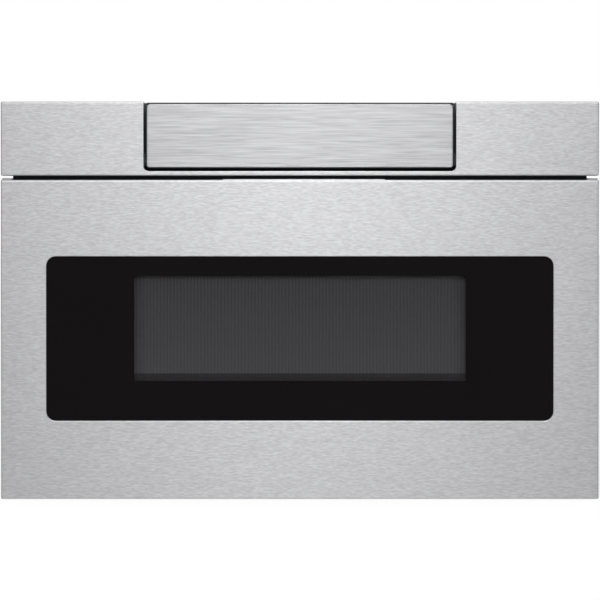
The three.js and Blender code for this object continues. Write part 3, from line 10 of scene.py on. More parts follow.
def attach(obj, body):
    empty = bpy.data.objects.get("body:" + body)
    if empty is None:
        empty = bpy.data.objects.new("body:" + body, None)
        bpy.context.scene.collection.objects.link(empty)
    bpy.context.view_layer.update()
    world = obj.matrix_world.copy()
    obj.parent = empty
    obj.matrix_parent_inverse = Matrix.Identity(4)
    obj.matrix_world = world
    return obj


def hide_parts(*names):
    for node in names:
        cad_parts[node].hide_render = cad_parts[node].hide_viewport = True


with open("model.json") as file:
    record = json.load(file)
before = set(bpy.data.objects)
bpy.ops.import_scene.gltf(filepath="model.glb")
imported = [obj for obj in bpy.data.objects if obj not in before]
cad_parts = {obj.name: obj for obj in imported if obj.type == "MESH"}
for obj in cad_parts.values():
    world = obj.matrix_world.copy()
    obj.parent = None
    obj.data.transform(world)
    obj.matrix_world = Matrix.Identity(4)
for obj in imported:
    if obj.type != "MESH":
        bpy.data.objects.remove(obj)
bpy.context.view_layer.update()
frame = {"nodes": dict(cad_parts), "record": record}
nodes = frame["nodes"]
nodeBody = {node: body for body, names in frame["record"]["behaviour"]["bodies"].items() for node in names}
nodeSlot = {row["node"]: row["material_slot"] for row in frame["record"]["subparts"]}
print("frame loaded:", len(nodes), "nodes")

# camera
shot = {
    "elevation": 1.0,  # degrees above the fronts
    "distance": 5.0,
    "width": 0.60834,  # metres across the picture at the fronts
    "aim": (0.00015, -0.297, 0.2023),
    "sensor": 36,
    "clip": (0.1, 60),
}

lens = bpy.data.cameras.new("camera")
lens.sensor_width = shot["sensor"]
lens.lens = shot["sensor"] * shot["distance"] / shot["width"]
lens.clip_start, lens.clip_end = shot["clip"]
camera = bpy.data.objects.new("camera", lens)
bpy.context.scene.collection.objects.link(camera)
tilt = math.radians(shot["elevation"])
back = Vector((0, -math.cos(tilt), math.sin(tilt)))
camera.location = Vector(shot["aim"]) + back * shot["distance"]
camera.rotation_euler = (-back).to_track_quat("-Z", "Y").to_euler()
bpy.context.scene.camera = camera
print("camera set")


# shader expressions
class Signal:  # a shader socket that takes + - * / and a few named operations
    def __init__(self, tree, socket):
        self.tree = tree
        self.socket = socket

    def math(self, operation, *others, clamp=False):
        return mathNode(self.tree, operation, (self, *others), clamp)

    def __add__(self, other):
        return self.math("ADD", other)

    def __radd__(self, other):
        return self.math("ADD", other)

    def __sub__(self, other):
        return self.math("SUBTRACT", other)

    def __rsub__(self, other):
        return mathNode(self.tree, "SUBTRACT", (other, self))

    def __mul__(self, other):
        return self.math("MULTIPLY", other)

    def __rmul__(self, other):
        return self.math("MULTIPLY", other)

    def __truediv__(self, other):
        return self.math("DIVIDE", other)

    def __rtruediv__(self, other):
        return mathNode(self.tree, "DIVIDE", (other, self))

    def clamped(self):
        return self.math("ADD", 0.0, clamp=True)

    def above(self, edge):
        return self.math("GREATER_THAN", edge)

    def below(self, edge):
        return self.math("LESS_THAN", edge)


def mathNode(tree, operation, values, clamp=False):
    node = tree.nodes.new("ShaderNodeMath")
    node.operation = operation
    node.use_clamp = clamp
    for place, value in enumerate(values):
        plug(tree, value, node.inputs[place])
    return Signal(tree, node.outputs[0])


def plug(tree, value, socket):
    if isinstance(value, Signal):
        tree.links.new(value.socket, socket)
    elif socket.type == "RGBA" and len(value) == 3:
        socket.default_value = (*value, 1)
    else:
        socket.default_value = value


class Graph:  # a node tree and the one way to add to it
    def __init__(self, tree):
        self.tree = tree

    def add(self, kind, settings, inputs, out=0):
        node = self.tree.nodes.new(kind)
        for name, value in settings.items():
            setattr(node, name, value)
        for name, value in inputs.items():
            plug(self.tree, value, self.socketOf(node, name))
        return Signal(self.tree, node.outputs[out]) if node.outputs else None

    def socketOf(self, node, name):
        if isinstance(name, int):
            return node.inputs[name]
        return next(s for s in node.inputs if name in (s.identifier, s.name) and s.enabled)

    def seen(self):  # 1 on a ray from the camera, also after a gloss or through glass
        rays = ("Is Camera Ray", "Is Glossy Ray", "Is Transmission Ray")
        camera, glossy, through = [self.add("ShaderNodeLightPath", {}, {}, ray) for ray in rays]
        return camera.math("MAXIMUM", glossy).math("MAXIMUM", through)


class Finish(Graph):  # one material and the nodes that make it
    def __init__(self, name):
        self.name = name
        self.material = bpy.data.materials.new(name)
        self.material.use_nodes = True
        super().__init__(self.material.node_tree)
        self.shader = self.tree.nodes["Principled BSDF"]
        self.place = self.add("ShaderNodeTexCoord", {}, {}, "Object")

    def parts(self, vector):
        split = self.add("ShaderNodeSeparateXYZ", {}, {"Vector": vector})
        return [Signal(self.tree, socket) for socket in split.socket.node.outputs]

    def axes(self):
        return self.parts(self.place)

    def scaled(self, factors):
        return self.add("ShaderNodeMapping", {}, {"Vector": self.place, "Scale": factors})

    def noise(self, factors=(1, 1, 1), scale=1.0, detail=2.0, roughness=0.5):
        return self.add("ShaderNodeTexNoise", {}, {
            "Vector": self.scaled(factors), "Scale": scale, "Detail": detail, "Roughness": roughness,
        })

    def streaks(self, size, detail, roughness=0.5):  # noise with features about this many mm long
        return self.noise(tuple(1 / length for length in size), 1000, detail, roughness)

    def cells(self, scale, feature="F1"):
        return self.add("ShaderNodeTexVoronoi", {"feature": feature}, {
            "Vector": self.scaled((1, 1, 1)), "Scale": scale,
        })

    def patches(self, scale):  # cells, each with one random value
        inputs = {"Vector": self.scaled((1, 1, 1)), "Scale": scale}
        return self.parts(self.add("ShaderNodeTexVoronoi", {}, inputs, "Color"))[0]

    def waves(self, along, pitch):
        return (along * 2 * math.pi / pitch).math("SINE")

    def relief(self, height, distance, strength=1.0):
        return self.add("ShaderNodeBump", {}, {"Height": height, "Distance": distance, "Strength": strength})

    def set(self, amount, **values):  # its colour goes from the dark tone to the light one by this amount
        dark, light = tones[self.name]
        inputs = {"Factor_Float": amount, "A_Color": dark, "B_Color": light}
        values["colour"] = self.add("ShaderNodeMix", {"data_type": "RGBA"}, inputs, 2)
        names = {
            "colour": "Base Color", "roughness": "Roughness", "metallic": "Metallic", "ior": "IOR",
            "normal": "Normal", "alpha": "Alpha", "coat": "Coat Weight", "specular": "Specular IOR Level",
            "anisotropic": "Anisotropic", "turn": "Anisotropic Rotation",
            "emission": "Emission Color", "glow": "Emission Strength",
        }
        for name, value in values.items():
            plug(self.tree, value, self.shader.inputs[names[name]])


finishes = {}


def finishOf(name, make):
    if name not in finishes:
        finish = Finish(name)
        make(finish)
        finishes[name] = finish.material
    return finishes[name]


# mesh tools
leastRadius = 1e-5


# a closed outline from corners (u, v, radius), with steps + 1 points on each arc
def rounded(corners, steps=6):
    points = []
    for index, (u, v, radius) in enumerate(corners):
        corner = Vector((u, v))
        back = (Vector(corners[index - 1][:2]) - corner).normalized()
        ahead = (Vector(corners[(index + 1) % len(corners)][:2]) - corner).normalized()
        half = back.angle(ahead) / 2
        radius = max(radius, leastRadius)
        centre = corner + (back + ahead).normalized() * (radius / math.sin(half))
        start = corner + back * (radius / math.tan(half)) - centre
        sweep = math.pi - 2 * half
        if back.x * ahead.y - back.y * ahead.x > 0:
            sweep = -sweep
        for step in range(steps + 1):
            angle = sweep * step / steps
            cosine, sine = math.cos(angle), math.sin(angle)
            turned = (start.x * cosine - start.y * sine, start.x * sine + start.y * cosine)
            points.append(centre + Vector(turned))
    return points


def rectangle(left, right, bottom, top, radius, topRadius=None):
    topRadius = radius if topRadius is None else topRadius
    return [(left, bottom, radius), (right, bottom, radius), (right, top, topRadius), (left, top, topRadius)]


class Maker:  # gathers faces and turns them into a piece
    def __init__(self):
        self.bm = bmesh.new()

    def ring(self, points):
        return [self.bm.verts.new(p) for p in points]

    def ringXZ(self, outline, y):
        return self.ring([(p[0], y, p[1]) for p in outline])

    def ringYZ(self, outline, x):
        return self.ring([(x, p[0], p[1]) for p in outline])

    def ringOn(self, seat, outline, height):
        return self.ring([seat @ Vector((p[0], p[1], height)) for p in outline])

    def stack(self, seat, outlineAt, steps, arc=5):  # closed solid from an outline at (inset, height) steps
        rings = [self.ringOn(seat, rounded(outlineAt(inset), arc), height) for inset, height in steps]
        self.closed(rings)

    # stack of rounded rectangles
    def plate(self, seat, left, right, low, high, radius, steps, arc=5):
        def outlineAt(inset):
            return rectangle(left + inset, right - inset, low + inset, high - inset, radius)

        self.stack(seat, outlineAt, steps, arc)

    def sheet(self, rows):  # open skin through rows of points
        lines = [self.ring(row) for row in rows]
        for first, second in zip(lines, lines[1:]):
            for here in range(len(first) - 1):
                self.bm.faces.new((first[here], first[here + 1], second[here + 1], second[here]))
        return lines

    def closed(self, rings):
        self.bridge(*rings)
        self.cap(rings[0])
        self.cap(rings[-1])

    def bridge(self, *rings):
        for first, second in zip(rings, rings[1:]):
            count = len(first)
            for here in range(count):
                there = (here + 1) % count
                self.bm.faces.new((first[here], first[there], second[there], second[here]))

    def cap(self, *rings):
        edges = []
        for ring in rings:
            for here in range(len(ring)):
                pair = (ring[here], ring[(here + 1) % len(ring)])
                edges.append(self.bm.edges.get(pair) or self.bm.edges.new(pair))
        bmesh.ops.triangle_fill(self.bm, use_beauty=True, edges=edges)

    def brick(self, low, high, edge=0.0):
        across, along, up = zip(low, high)
        vertices = self.ring([Vector((x, y, z)) for x in across for y in along for z in up])
        order = [(0, 1, 3, 2), (4, 6, 7, 5), (0, 4, 5, 1), (2, 3, 7, 6), (0, 2, 6, 4), (1, 5, 7, 3)]
        faces = [self.bm.faces.new([vertices[index] for index in face]) for face in order]
        if edge:
            edges = {line for face in faces for line in face.edges}
            bmesh.ops.bevel(self.bm, geom=list(edges), offset=edge, segments=2, affect="EDGES", profile=0.5)

    def piece(self, name, body, slot, stands=(), finish=None, sharp=32, bevel=0.0, keepNormals=False):
        if not keepNormals:
            bmesh.ops.recalc_face_normals(self.bm, faces=self.bm.faces)
        mesh = bpy.data.meshes.new(name)
        self.bm.to_mesh(mesh)
        self.bm.free()
        return dress(mesh, name, finish or slotMaterial(slot), body, stands, sharp, bevel)


def seatOf(place, u, v):  # local u and v on a face, with the height out of it
    u, v = Vector(u).normalized(), Vector(v).normalized()
    return Matrix.Translation(place) @ Matrix((u, v, u.cross(v))).transposed().to_4x4()


def seatFacing(direction, place):
    axes = {
        "front": ((1, 0, 0), (0, 0, 1)), "rear": ((-1, 0, 0), (0, 0, 1)), "top": ((1, 0, 0), (0, 1, 0)),
        "left": ((0, -1, 0), (0, 0, 1)), "right": ((0, 1, 0), (0, 0, 1)),
    }
    return seatOf(place, *axes[direction])


def dress(mesh, name, finish, body, stands, sharp=32, bevel=0.0):
    mesh.materials.clear()
    mesh.materials.append(finish)
    mesh.polygons.foreach_set("use_smooth", [True] * len(mesh.polygons))
    mesh.set_sharp_from_angle(angle=math.radians(sharp))
    thing = bpy.data.objects.new(name, mesh)
    bpy.context.scene.collection.objects.link(thing)
    if bevel:
        rounding = thing.modifiers.new("rounding", "BEVEL")
        rounding.width = bevel
        rounding.segments = 2
        rounding.limit_method = "ANGLE"
        rounding.angle_limit = math.radians(sharp)
        rounding.harden_normals = True
        rounding.use_clamp_overlap = True
    else:
        evened = thing.modifiers.new("even_shading", "WEIGHTED_NORMAL")
        evened.keep_sharp = True
    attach(thing, body)
    if stands:
        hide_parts(*stands)
    return thing


def carved(mesh, cutters):  # the mesh with boxes (low, high) taken out of it
    if not cutters:
        return mesh
    maker = Maker()
    for low, high in cutters:
        maker.brick(low, high)
    bmesh.ops.recalc_face_normals(maker.bm, faces=maker.bm.faces)
    tool = bpy.data.objects.new("cutter", bpy.data.meshes.new("cutter"))
    maker.bm.to_mesh(tool.data)
    maker.bm.free()
    work = bpy.data.objects.new("work", mesh)
    for thing in (tool, work):
        bpy.context.scene.collection.objects.link(thing)
    carving = work.modifiers.new("carving", "BOOLEAN")
    carving.operation = "DIFFERENCE"
    carving.solver = "EXACT"
    carving.object = tool
    bpy.context.view_layer.update()
    result = bpy.data.meshes.new_from_object(work.evaluated_get(bpy.context.evaluated_depsgraph_get()))
    bpy.data.objects.remove(work)
    bpy.data.objects.remove(tool)
    return result


cleaning = {"weld": 2e-6, "flat": math.radians(0.5)}


def refined(node, finish, bevel, cutters=()):  # the node's own shape with softened edges
    mesh = carved(nodes[node].data.copy(), cutters)
    bm = bmesh.new()
    bm.from_mesh(mesh)
    bmesh.ops.remove_doubles(bm, verts=bm.verts, dist=cleaning["weld"])
    bmesh.ops.dissolve_limit(bm, angle_limit=cleaning["flat"], verts=bm.verts, edges=bm.edges)
    bm.to_mesh(mesh)
    bm.free()
    return dress(mesh, "fine_" + node, finish, nodeBody[node], (node,), bevel=bevel)


# finishes, each from a dark to a light colour
tones = {
    "brushed_steel": ((0.275, 0.275, 0.281), (0.380, 0.380, 0.388)),
    "flap_steel": ((0.236, 0.236, 0.242), (0.322, 0.322, 0.330)),
    "zinc_sheet": ((0.305, 0.315, 0.327), (0.485, 0.497, 0.510)),
    "zinc_plate": ((0.50, 0.51, 0.53), (0.68, 0.69, 0.71)),
    "black_sheet": ((0.008, 0.008, 0.009), (0.018, 0.018, 0.02)),
    "grey_enamel": ((0.22, 0.22, 0.225), (0.30, 0.30, 0.305)),
    "moulded_black": ((0.007, 0.007, 0.008), (0.014, 0.014, 0.015)),
    "printed_glass": ((0.0028, 0.0022, 0.0024), (0.0040, 0.0032, 0.0034)),
    "perforated_sheet": ((0.007, 0.0066, 0.0074), (0.074, 0.0728, 0.0785)),
    "tinted_glass": ((0.10, 0.11, 0.11), (0.14, 0.15, 0.15)),
    "glazed_ceramic": ((0.80, 0.785, 0.74), (0.70, 0.68, 0.63)),
    "white_nylon": ((0.62, 0.60, 0.52), (0.72, 0.70, 0.62)),
    "mica_sheet": ((0.50, 0.45, 0.34), (0.68, 0.63, 0.51)),
    "mill_aluminium": ((0.55, 0.56, 0.57), (0.70, 0.71, 0.72)),
    "wound_copper": ((0.16, 0.05, 0.02), (0.45, 0.19, 0.08)),
    "varnished_laminations": ((0.07, 0.065, 0.06), (0.16, 0.155, 0.15)),
    "circuit_board": ((0.02, 0.085, 0.035), (0.06, 0.20, 0.085)),
    "red_plastic": ((0.26, 0.022, 0.016), (0.34, 0.034, 0.024)),
    "clear_bulb": ((0.65, 0.66, 0.66), (0.8, 0.8, 0.8)),
    "grey_rubber": ((0.26, 0.26, 0.27), (0.36, 0.36, 0.37)),
    "printed_ink": ((0.558, 0.567, 0.576), (0.62, 0.63, 0.64)),
    "key_membrane": ((0.016, 0.016, 0.018), (0.026, 0.026, 0.029)),
    "lit_segments": ((0.10, 0.34, 0.36), (0.14, 0.42, 0.44)),
}

brushing = {
    "roughness": 0.42, "spread": 0.9, "turn": 0.25,
    "brushed_steel": {
        "streaks": ((5, 2, 0.95), (16, 6, 4), (20, 0.5, 0.45)),  # dash, mottle and hair, in mm
        "shares": (0.58, 0.06, 0.36), "contrast": 2.9, "glossChange": 0.16,
    },
    "flap_steel": {
        "streaks": ((34, 2, 1.05), (22, 4, 3), (90, 0.5, 0.45)),
        "shares": (0.6, 0.1, 0.3), "contrast": 3.9, "glossChange": 0.14,
    },
}


def brushedSteel(f):
    brush = brushing[f.name]
    dash, mottle, hair = [f.streaks(size, detail) for size, detail in zip(brush["streaks"], (1, 2, 2))]
    dashShare, mottleShare, hairShare = brush["shares"]
    grain = dash * dashShare + mottle * mottleShare + hair * hairShare
    f.set(
        ((grain - 0.5) * brush["contrast"] + 0.5).clamped(), metallic=1.0,
        roughness=brushing["roughness"] + (hair - 0.5) * brush["glossChange"],
        anisotropic=brushing["spread"], turn=brushing["turn"], normal=f.relief(hair, 0.00006, 0.35),
    )


def zincSheet(f):
    shade = f.patches(120)
    speckle = f.patches(430)
    rolled = f.streaks((40, 4, 4), 3)
    smudge = f.noise(scale=9, detail=4)
    tone = shade * 0.44 + speckle * 0.2 + rolled * 0.16 + smudge * 0.20
    f.set(
        tone, metallic=0.45, specular=0.25, roughness=0.55 + shade * 0.14 + speckle * 0.06,
        normal=f.relief(shade * 0.5 + speckle * 0.3 + rolled * 0.2, 0.00006, 0.5),
    )


def zincPlate(f):  # plated screws and rivets
    cloud = f.noise(scale=300, detail=3)
    f.set(cloud, metallic=1.0, roughness=0.24 + cloud * 0.18, normal=f.relief(cloud, 0.00004, 0.4))


def blackSheet(f):
    peel = f.noise(scale=900)
    dust = f.noise(scale=30, detail=4)
    f.set(dust, roughness=0.42 + dust * 0.12, specular=0.3, normal=f.relief(peel, 0.00006, 0.5))


def greyEnamel(f):
    speck = f.cells(1400)
    cloud = f.noise(scale=25, detail=4)
    f.set(
        speck.below(0.16) * 0.5 + cloud * 0.5, roughness=0.28 + cloud * 0.12, coat=0.4,
        normal=f.relief(f.noise(scale=500), 0.00005, 0.4),
    )


def mouldedBlack(f):
    grain = f.noise(scale=1800)
    cloud = f.noise(scale=40, detail=3)
    f.set(cloud, roughness=0.42 + grain * 0.14, specular=0.35, normal=f.relief(grain, 0.00004, 0.6))


windowPane = {"half": 0.1683, "low": 0.1199, "high": 0.2268, "clear": 0.9}


def windowMask(f):
    x, _, z = f.axes()
    inside = x.math("ABSOLUTE").below(windowPane["half"])
    return inside * z.above(windowPane["low"]) * z.below(windowPane["high"])


def printedGlass(f):
    haze = f.noise(scale=9, detail=3)
    f.set(
        haze, roughness=0.05 + haze * 0.03, specular=0.05, ior=1.5,
        alpha=1 - windowMask(f) * windowPane["clear"],
    )


screen = {
    "holePitch": 0.00145,
    "ribPitch": 0.00343,
    "stripHigh": 0.1277,  # the plain strip under the holes, with a dark line along its upper edge
    "lineLow": 0.1262,
    # painted light grows paler downwards over this height, and painted shade darkens the window's sides over
    # this width
    "paintedLightHeight": 0.11,
    "edgeShadeWidth": 0.014,
}


def perforatedSheet(f):
    x, _, z = f.axes()
    dots = (f.waves(x, screen["holePitch"]) * f.waves(z, screen["holePitch"])).math("ABSOLUTE")
    rib = f.waves(x, screen["ribPitch"]) * 0.5 + 0.5
    low = ((z - windowPane["high"]) / -screen["paintedLightHeight"]).clamped()  # painted light: paler towards the bottom, darker towards the top
    # painted shade: darker towards the window's sides
    inward = ((windowPane["half"] - x.math("ABSOLUTE")) / screen["edgeShadeWidth"]).clamped()
    plain = z.below(screen["stripHigh"])
    line = plain * z.above(screen["lineLow"])
    # holes and ribs, plus the painted light towards the bottom and the painted shade along the sides
    mesh = dots * 0.12 + rib * 0.22 + low * 0.30 + inward * 0.18 + 0.06
    f.set(
        (mesh * (1 - plain * 0.8) - line * 0.03).clamped(), specular=0.2, roughness=0.5,
        normal=f.relief(dots, 0.0002, 0.6),
    )


def tintedGlass(f):
    haze = f.noise(scale=12, detail=3)
    f.set(haze, roughness=0.05 + haze * 0.04, alpha=0.55 + haze * 0.1)


def glazedCeramic(f):
    cloud = f.noise(scale=18, detail=4)
    speck = f.cells(700).below(0.07)
    f.set(
        (cloud * 0.8 + speck * 0.3).clamped(), roughness=0.14 + cloud * 0.08, coat=0.3,
        normal=f.relief(f.noise(scale=60), 0.0001, 0.25),
    )


def whiteNylon(f):
    cloud = f.noise(scale=60, detail=3)
    f.set(cloud, roughness=0.42 + cloud * 0.12, normal=f.relief(f.noise(scale=900), 0.00004, 0.4))


def micaSheet(f):
    shade = f.patches(260)
    f.set(shade, roughness=0.4 + shade * 0.25, normal=f.relief(shade, 0.0001, 0.4))


def millAluminium(f):
    rolled = f.streaks((60, 2, 2), 3)
    cloud = f.noise(scale=22, detail=3)
    f.set(
        rolled * 0.6 + cloud * 0.4, metallic=1.0, roughness=0.34 + rolled * 0.14,
        normal=f.relief(rolled, 0.00005, 0.4),
    )


def woundCopper(f):
    _, _, z = f.axes()
    turns = f.waves(z, 0.0011) * 0.5 + 0.5
    cloud = f.noise(scale=90, detail=3)
    f.set(
        turns * 0.7 + cloud * 0.3, metallic=0.8, roughness=0.32 + cloud * 0.15,
        normal=f.relief(turns, 0.0003, 0.8),
    )


def varnishedLaminations(f):
    _, y, _ = f.axes()
    layers = f.waves(y, 0.0012) * 0.5 + 0.5
    cloud = f.noise(scale=45, detail=4)
    f.set(
        layers * 0.5 + cloud * 0.5, metallic=0.6, roughness=0.42 + cloud * 0.2,
        normal=f.relief(layers, 0.0001, 0.5),
    )


def circuitBoard(f):
    tracks = f.cells(170, feature="DISTANCE_TO_EDGE")
    pads = f.cells(420).below(0.22)
    mask = (tracks.above(0.06) * 0.6 + 0.2).clamped()
    f.set(
        (mask + pads * 0.6).clamped(), roughness=0.34 + pads * 0.1,
        normal=f.relief(tracks.above(0.06), 0.00005, 0.6),
    )


def redPlastic(f):
    grain = f.noise(scale=1200)
    f.set(grain, roughness=0.40 + grain * 0.12, normal=f.relief(grain, 0.00004, 0.5))


def clearBulb(f):
    haze = f.noise(scale=60)
    f.set(haze, roughness=0.05 + haze * 0.05, alpha=0.35 + haze * 0.1)


def greyRubber(f):
    grain = f.noise(scale=1500)
    f.set(grain, roughness=0.55 + grain * 0.15, normal=f.relief(grain, 0.00004, 0.5))


slotFinish = {
    "stainless": ("brushed_steel", brushedSteel),
    "galvanised": ("zinc_sheet", zincSheet),
    "black_steel": ("black_sheet", blackSheet),
    "enamel": ("grey_enamel", greyEnamel),
    "smoked_glass": ("printed_glass", printedGlass),
    "clear_glass": ("tinted_glass", tintedGlass),
    "perforated_steel": ("perforated_sheet", perforatedSheet),
    "black_plastic": ("moulded_black", mouldedBlack),
    "ceramic": ("glazed_ceramic", glazedCeramic),
    "nylon": ("white_nylon", whiteNylon),
    "mica": ("mica_sheet", micaSheet),
    "aluminium": ("mill_aluminium", millAluminium),
    "copper_wire": ("wound_copper", woundCopper),
    "silicon_steel": ("varnished_laminations", varnishedLaminations),
    "board_green": ("circuit_board", circuitBoard),
    "red_switch": ("red_plastic", redPlastic),
}


def slotMaterial(slot):
    return finishOf(*slotFinish[slot])


for slot in slotFinish:
    slotMaterial(slot)
print("finishes made:", len(finishes))

# steel fronts
fronts = {
    "half": 0.3032,
    "face": -0.297,
    "corner": 0.0015,
    "leastRadius": 0.0002,
    "ease": 0.0003,  # how far a sheet's rear edges are broken outside, and inside
    "lipEase": 0.0002,
    "innerBend": 0.0006,
    "topBend": 1.6,  # a top edge is rounded this much more than a side
    "lowBend": 0.4,  # and a lower edge this much less
}


def bends(radius, steps=5):  # inset and depth along a quarter round from the face to the side
    turns = [math.pi / 2 * step / steps for step in range(steps + 1)]
    return [(radius * (1 - math.sin(turn)), radius * (1 - math.cos(turn))) for turn in turns]


# a sheet with its edges folded back, and with an opening where openingAt gives one
def foldedFront(name, node, body, outlineAt, measures, openingAt=None, finish=None):
    face, back, sheet = fronts["face"], measures["back"], measures["sheet"]
    ease, lip, turn = fronts["ease"], fronts["lipEase"], fronts["innerBend"]
    maker = Maker()

    def ringAt(inset, y):
        return maker.ringXZ(rounded(outlineAt(inset)), y)

    outer = [ringAt(inset, face + depth) for inset, depth in bends(measures["bend"])]
    outer += [ringAt(0, back - ease), ringAt(ease, back), ringAt(sheet - lip, back)]
    inner = [ringAt(sheet, back - lip), ringAt(sheet, face + sheet + turn)]
    inner.append(ringAt(sheet + turn, face + sheet))
    maker.bridge(*outer, *inner)
    if openingAt:
        edges = bends(measures["cutEdge"], 4)
        rim = [maker.ringXZ(rounded(openingAt(out), 10), face + depth) for out, depth in edges]
        rim.append(maker.ringXZ(rounded(openingAt(0), 10), face + sheet))
        maker.bridge(*rim)
        maker.cap(outer[0], rim[0])
        maker.cap(inner[-1], rim[-1])
    else:
        maker.cap(outer[0])
        maker.cap(inner[-1])
    maker.piece(name, body, nodeSlot[node], (node,), finish, sharp=40)


drawerFront = {
    "low": 0.0005, "high": 0.3242, "back": -0.267, "sheet": 0.0015, "bend": 0.0016, "cutEdge": 0.0014,
}
glassCut = {
    "half": 0.25685, "low": 0.0799, "high": 0.2464, "radius": 0.0091,
    "sideShare": 0.7, "topShare": 0.45,  # how far the rounded edge reaches there, beside the lower edge's
}


def drawerOutline(inset):
    edge = fronts["half"] - inset
    radius = max(fronts["corner"] - inset, fronts["leastRadius"])
    low = drawerFront["low"] + inset * fronts["lowBend"]
    return rectangle(-edge, edge, low, drawerFront["high"] - inset * fronts["topBend"], radius)


def glassOutline(out):  # grows outward from the cut
    edge = glassCut["half"] + out * glassCut["sideShare"]
    top = glassCut["high"] + out * glassCut["topShare"]
    return rectangle(-edge, edge, glassCut["low"] - out, top, glassCut["radius"] + out)


foldedFront("drawer_front_sheet", "drawer_skin", "drawer", drawerOutline, drawerFront, glassOutline)

trim = {
    "low": 0.3283, "high": 0.4034, "back": -0.2653, "sheet": 0.0015, "bend": 0.0013,
    "notchHalf": 0.1583, "notchLow": 0.3331, "notchRadius": 0.005, "notchBend": 0.3,
}


def trimOutline(inset):
    side, notch = fronts["half"] - inset, trim["notchHalf"] + inset * trim["notchBend"]
    low, high = trim["low"] + inset, trim["high"] - inset * fronts["topBend"]
    floor, turn = trim["notchLow"] - inset, trim["notchRadius"] + inset
    least = fronts["leastRadius"]
    radius = max(fronts["corner"] - inset, least)
    return [
        (-side, low, radius), (side, low, radius), (side, high, radius), (notch, high, least),
        (notch, floor, turn), (-notch, floor, turn), (-notch, high, least), (-side, high, radius),
    ]


foldedFront("upper_trim_sheet", "upper_trim", "chassis", trimOutline, trim)

flap = {
    "half": 0.15535, "low": 0.3366, "high": 0.40105, "back": -0.294, "sheet": 0.0012, "bend": 0.001,
    "lowRadius": 0.0028, "highRadius": 0.0042,
}


def flapOutline(inset):
    edge = flap["half"] - inset
    lowRadius = max(flap["lowRadius"] - inset, fronts["leastRadius"])
    highRadius = max(flap["highRadius"] - inset, fronts["leastRadius"])
    return rectangle(-edge, edge, flap["low"] + inset, flap["high"] - inset, lowRadius, highRadius)


flapSteel = finishOf("flap_steel", brushedSteel)
foldedFront("control_front_sheet", "control_front", "control_module", flapOutline, flap, finish=flapSteel)

flapLip = {
    "half": 0.1556, "low": 0.3990, "high": 0.4024, "front": -0.2939, "back": -0.2915,
    "radius": 0.0012, "ease": 0.0003,
}

# black edge of the housing, seen as a line over the tilting front
maker = Maker()
half, ease, depth = flapLip["half"], flapLip["ease"], flapLip["back"] - flapLip["front"]
seat = seatFacing("front", (0, flapLip["back"], 0))
steps = ((0, 0), (0, depth - ease), (ease, depth))
maker.plate(seat, -half, half, flapLip["low"], flapLip["high"], flapLip["radius"], steps)
maker.piece("flap_lip", "control_module", "black_plastic")
print("steel fronts made")

# glass
glass = {
    "half": 0.26485, "low": 0.0722, "high": 0.2544, "front": -0.2952, "back": -0.2912,
    "radius": 0.0091, "bevel": 0.0006,
}

maker = Maker()
front, back, bevel = glass["front"], glass["back"], glass["bevel"]
rings = []
for inset, y in ((bevel, front), (0, front + bevel), (0, back - bevel), (bevel, back)):
    edge = glass["half"] - inset
    outline = rectangle(-edge, edge, glass["low"] + inset, glass["high"] - inset, glass["radius"])
    rings.append(maker.ringXZ(rounded(outline), y))
maker.closed(rings)
maker.piece("drawer_glass_pane", "drawer", "smoked_glass", ("drawer_glass",), sharp=30)
print("glass made")

# screws and rivets
sides = (("left", -1), ("right", 1))
plated = finishOf("zinc_plate", zincPlate)


def wheel(radius, count=16):
    turns = [2 * math.pi * step / count for step in range(count)]
    return [(radius * math.cos(turn), radius * math.sin(turn)) for turn in turns]


def crossOutline(reach, half):
    return [
        (half, half), (half, reach), (-half, reach), (-half, half), (-reach, half), (-reach, -half),
        (-half, -half), (-half, -reach), (half, -reach), (half, -half), (reach, -half), (reach, half),
    ]


# radius and height of a head as shares of its radius, and reach, half width and height of its cross
screwHead = {
    "profile": ((1.0, -0.12), (1.0, 0.10), (0.94, 0.28), (0.78, 0.44), (0.55, 0.52)),
    "cross": ((0.45, 0.09, 0.52), (0.30, 0.06, 0.16)),
}
rivetHead = {
    "profile": ((1.0, -0.1), (1.0, 0.08), (0.9, 0.3), (0.66, 0.5), (0.34, 0.6), (0.12, 0.62)),
    "sides": 12,
}


def addScrew(maker, seat, radius):
    rings = [maker.ringOn(seat, wheel(radius * r), radius * h) for r, h in screwHead["profile"]]
    slotTop, slotFloor = [
        maker.ringOn(seat, crossOutline(radius * reach, radius * half), radius * height)
        for reach, half, height in screwHead["cross"]
    ]
    maker.bridge(*rings)
    maker.bridge(slotTop, slotFloor)
    maker.cap(rings[0])
    maker.cap(rings[-1], slotTop)
    maker.cap(slotFloor)


def addRivet(maker, seat, radius):
    maker.closed([
        maker.ringOn(seat, wheel(radius * r, rivetHead["sides"]), radius * h) for r, h in rivetHead["profile"]
    ])


